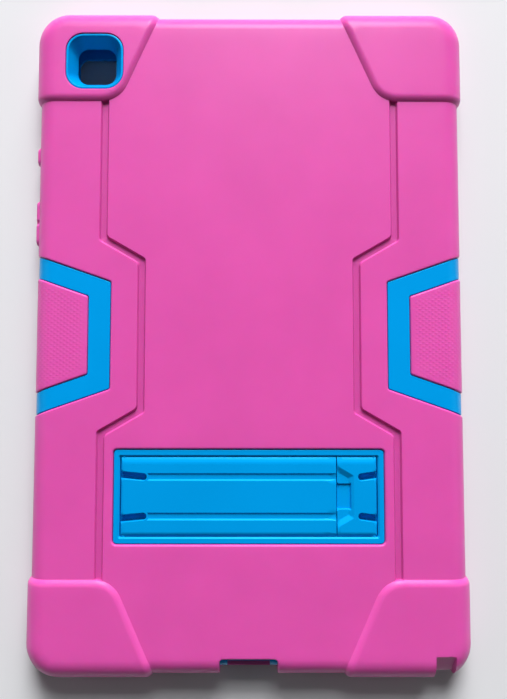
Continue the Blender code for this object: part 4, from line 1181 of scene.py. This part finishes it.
class CaseSizes(bpy.types.PropertyGroup):
    """Sizes that the pieces and the stage are made from."""
    groove_width: length_property("Groove Width", "Width of the sunken lines", 0.003)
    groove_depth: length_property("Groove Depth", "Depth of the sunken lines", 0.0012)
    window_x: length_property("Window Half Width", "Half width of the front window", 0.0695)
    window_y: length_property("Window Half Length", "Half length of the front window", 0.1146)
    leaf_gap: length_property("Leaf Gap", "Gap between the two leaves", 0.0003)
    long_slot: length_property("Long Leaf Slot", "Length of the long leaf's slots", 0.0098)
    short_slot: length_property("Short Leaf Slot", "Length of the short leaf's slots", 0.0071)
    channel_depth: length_property("Channel Depth", "Depth of the long leaf's channels", 0.0005)
    scoop_depth: length_property("Scoop Depth", "Depth of the fingertip scoop", 0.00095)
    pin_radius: length_property("Pin Radius", "Radius of the hinge pins", 0.0007)
    table_half: length_property("Table Half", "Half the side of the table top", 3.0)
    lens: FloatProperty(name="Lens", description="Focal length of the camera", default=33.99,
                        min=1.0, unit="CAMERA")
    key_power: power_property("Key Power", "Power of the key lamp", 145.0)
    glint_power: power_property("Glint Power", "Power of the lamp that glints", 56.0)
    fill_power: power_property("Fill Power", "Power of each fill lamp", 0.4)


class CaseColours(bpy.types.PropertyGroup):
    """Colours of the case and its stage."""
    rubber: colour_property("Rubber", "Colour of the silicone skin", linear(233, 88, 181))
    plastic: colour_property("Plastic", "Colour of the hard parts", linear(0, 159, 237))
    floor: colour_property("Floor", "Colour of the table", linear(226, 227, 230))


def add_table(half, colour):
    """Flat square floor at Z = 0."""
    mesh = bpy.data.meshes.new("table_top")
    mesh.from_pydata([(-half, -half, 0), (half, -half, 0), (half, half, 0), (-half, half, 0)],
                     [], [(0, 1, 2, 3)])
    material = bpy.data.materials.new("table_paint")
    material.use_nodes = True
    shader = material.node_tree.nodes["Principled BSDF"]
    shader.inputs["Base Color"].default_value = colour
    shader.inputs["Roughness"].default_value = 0.9
    shader.inputs["Specular IOR Level"].default_value = 0.2
    mesh.materials.append(material)
    in_scene("table_top", mesh)


def add_world(scene, colour):
    """Weak even light, and a plain backdrop that only camera rays see."""
    world = bpy.data.worlds.new("studio")
    scene.world = world
    world.use_nodes = True
    tree = world.node_tree
    soft = tree.nodes["Background"]
    soft.inputs["Color"].default_value = (1, 1, 1, 1)
    soft.inputs["Strength"].default_value = 0.055
    backdrop = tree.nodes.new("ShaderNodeBackground")
    backdrop.inputs["Color"].default_value = colour
    seen = tree.nodes.new("ShaderNodeLightPath")
    choose = tree.nodes.new("ShaderNodeMixShader")
    tree.links.new(seen.outputs["Is Camera Ray"], choose.inputs["Fac"])
    tree.links.new(soft.outputs["Background"], choose.inputs[1])
    tree.links.new(backdrop.outputs["Background"], choose.inputs[2])
    tree.links.new(choose.outputs["Shader"], tree.nodes["World Output"].inputs["Surface"])


def add_lamp(name, place, size, power):
    """Square area lamp that faces the case; the key lamp makes no reflections."""
    light = bpy.data.lights.new(name, "AREA")
    light.size = size
    light.energy = power
    lamp = in_scene(name, light)
    lamp.location = place
    lamp.visible_glossy = name != "key"
    lamp.rotation_euler = (-Vector(place)).to_track_quat("-Z", "Y").to_euler()


def add_camera(scene, focal_length):
    """Camera fitted to the photograph, above the lower half of the case."""
    lens = bpy.data.cameras.new("camera")
    lens.lens = focal_length
    lens.sensor_width = 36.0
    camera = in_scene("camera", lens)
    turn = (Matrix.Rotation(-0.001011, 3, "Z") @ Matrix.Rotation(0.002334, 3, "Y")
            @ Matrix.Rotation(-0.06303, 3, "X"))
    spot = Matrix.Translation((0.001124, -0.021461, 0.267342))
    camera.matrix_world = spot @ turn.transposed().to_4x4()
    scene.camera = camera


class CASE_OT_silicone_skin(bpy.types.Operator):
    """Make the rubber skin with its bumpers, lines, pads and buttons"""
    bl_idname = "case.silicone_skin"
    bl_label = "Silicone Skin"

    def execute(self, context):
        sizes = context.scene.case_sizes
        colour = tuple(context.scene.case_colours.rubber)
        make_skin(matte_silicone(colour, darker(colour, 0.94)), in_mm(sizes.groove_width),
                  in_mm(sizes.groove_depth))
        return {"FINISHED"}


class CASE_OT_rear_shell(bpy.types.Operator):
    """Make the hard shell with the tray of the stand"""
    bl_idname = "case.rear_shell"
    bl_label = "Rear Shell"

    def execute(self, context):
        colour = tuple(context.scene.case_colours.plastic)
        make_shell(satin_plastic("shell_satin", colour, darker(colour, 0.95)))
        return {"FINISHED"}


class CASE_OT_front_frame(bpy.types.Operator):
    """Make the frame that closes the front"""
    bl_idname = "case.front_frame"
    bl_label = "Front Frame"

    def execute(self, context):
        sizes = context.scene.case_sizes
        colour = tuple(context.scene.case_colours.plastic)
        make_frame(satin_plastic("frame_satin", colour, darker(colour, 0.95)),
                   in_mm(sizes.window_x), in_mm(sizes.window_y))
        return {"FINISHED"}


class CASE_OT_stand_leaves(bpy.types.Operator):
    """Make the two leaves of the stand with their hinge pins"""
    bl_idname = "case.stand_leaves"
    bl_label = "Stand Leaves"

    def execute(self, context):
        sizes = context.scene.case_sizes
        colour = tuple(context.scene.case_colours.plastic)
        satin = satin_plastic("leaf_satin", colour, darker(colour, 0.95))
        gap, radius = in_mm(sizes.leaf_gap) / 2, in_mm(sizes.pin_radius)
        make_leaf("long_leaf_surface", SPLIT_X - gap, in_mm(sizes.long_slot), -1,
                  channel_features(in_mm(sizes.channel_depth)), satin, "long_leaf",
                  "stand_long_leaf")
        make_leaf("short_leaf_surface", SPLIT_X + gap, in_mm(sizes.short_slot), 1,
                  scoop_features(in_mm(sizes.scoop_depth)), satin, "short_leaf",
                  "stand_short_leaf")
        make_pins("long_leaf_pin", -HINGE_X, radius, satin, "long_leaf", "stand_long_leaf")
        make_pins("short_leaf_pin", HINGE_X, radius, satin, "short_leaf", "stand_short_leaf")
        return {"FINISHED"}


class CASE_OT_stage(bpy.types.Operator):
    """Make the floor, the light and the camera"""
    bl_idname = "case.stage"
    bl_label = "Stage"

    def execute(self, context):
        scene = context.scene
        sizes = scene.case_sizes
        colour = tuple(scene.case_colours.floor)
        add_table(sizes.table_half, colour)
        add_world(scene, colour)
        add_lamp("key", (0.25, 2.85, 1.35), 1.8, sizes.key_power)
        add_lamp("glint", (0.15, 2.4, 1.95), 1.2, sizes.glint_power)
        add_lamp("fill_left", (-0.8, 0.1, 0.5), 0.5, sizes.fill_power)
        add_lamp("fill_right", (0.8, 0.1, 0.5), 0.5, sizes.fill_power)
        add_camera(scene, sizes.lens)
        scene.view_settings.view_transform = "Standard"
        return {"FINISHED"}


OPERATORS = (CASE_OT_silicone_skin, CASE_OT_rear_shell, CASE_OT_front_frame,
             CASE_OT_stand_leaves, CASE_OT_stage)


class CASE_PT_panel(bpy.types.Panel):
    """Panel that lists the case's sizes, colours and makers"""
    bl_idname = "CASE_PT_panel"
    bl_label = "Tablet Case"
    bl_space_type = "VIEW_3D"
    bl_region_type = "UI"
    bl_category = "Tablet Case"

    def draw(self, context):
        for group in (context.scene.case_sizes, context.scene.case_colours):
            for name in type(group).__annotations__:
                self.layout.prop(group, name)
        for operator in OPERATORS:
            self.layout.operator(operator.bl_idname)


CLASSES = (CaseSizes, CaseColours) + OPERATORS + (CASE_PT_panel,)


def register():
    """Register the classes and hang the settings on the scene."""
    for item in CLASSES:
        bpy.utils.register_class(item)
    bpy.types.Scene.case_sizes = PointerProperty(type=CaseSizes)
    bpy.types.Scene.case_colours = PointerProperty(type=CaseColours)


def unregister():
    """Take the settings and the classes away again."""
    del bpy.types.Scene.case_colours
    del bpy.types.Scene.case_sizes
    for item in reversed(CLASSES):
        bpy.utils.unregister_class(item)


def main():
    """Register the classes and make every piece."""
    register()
    bpy.ops.case.silicone_skin()
    bpy.ops.case.rear_shell()
    bpy.ops.case.front_frame()
    bpy.ops.case.stand_leaves()
    bpy.ops.case.stage()


if __name__ == "__main__":
    main()
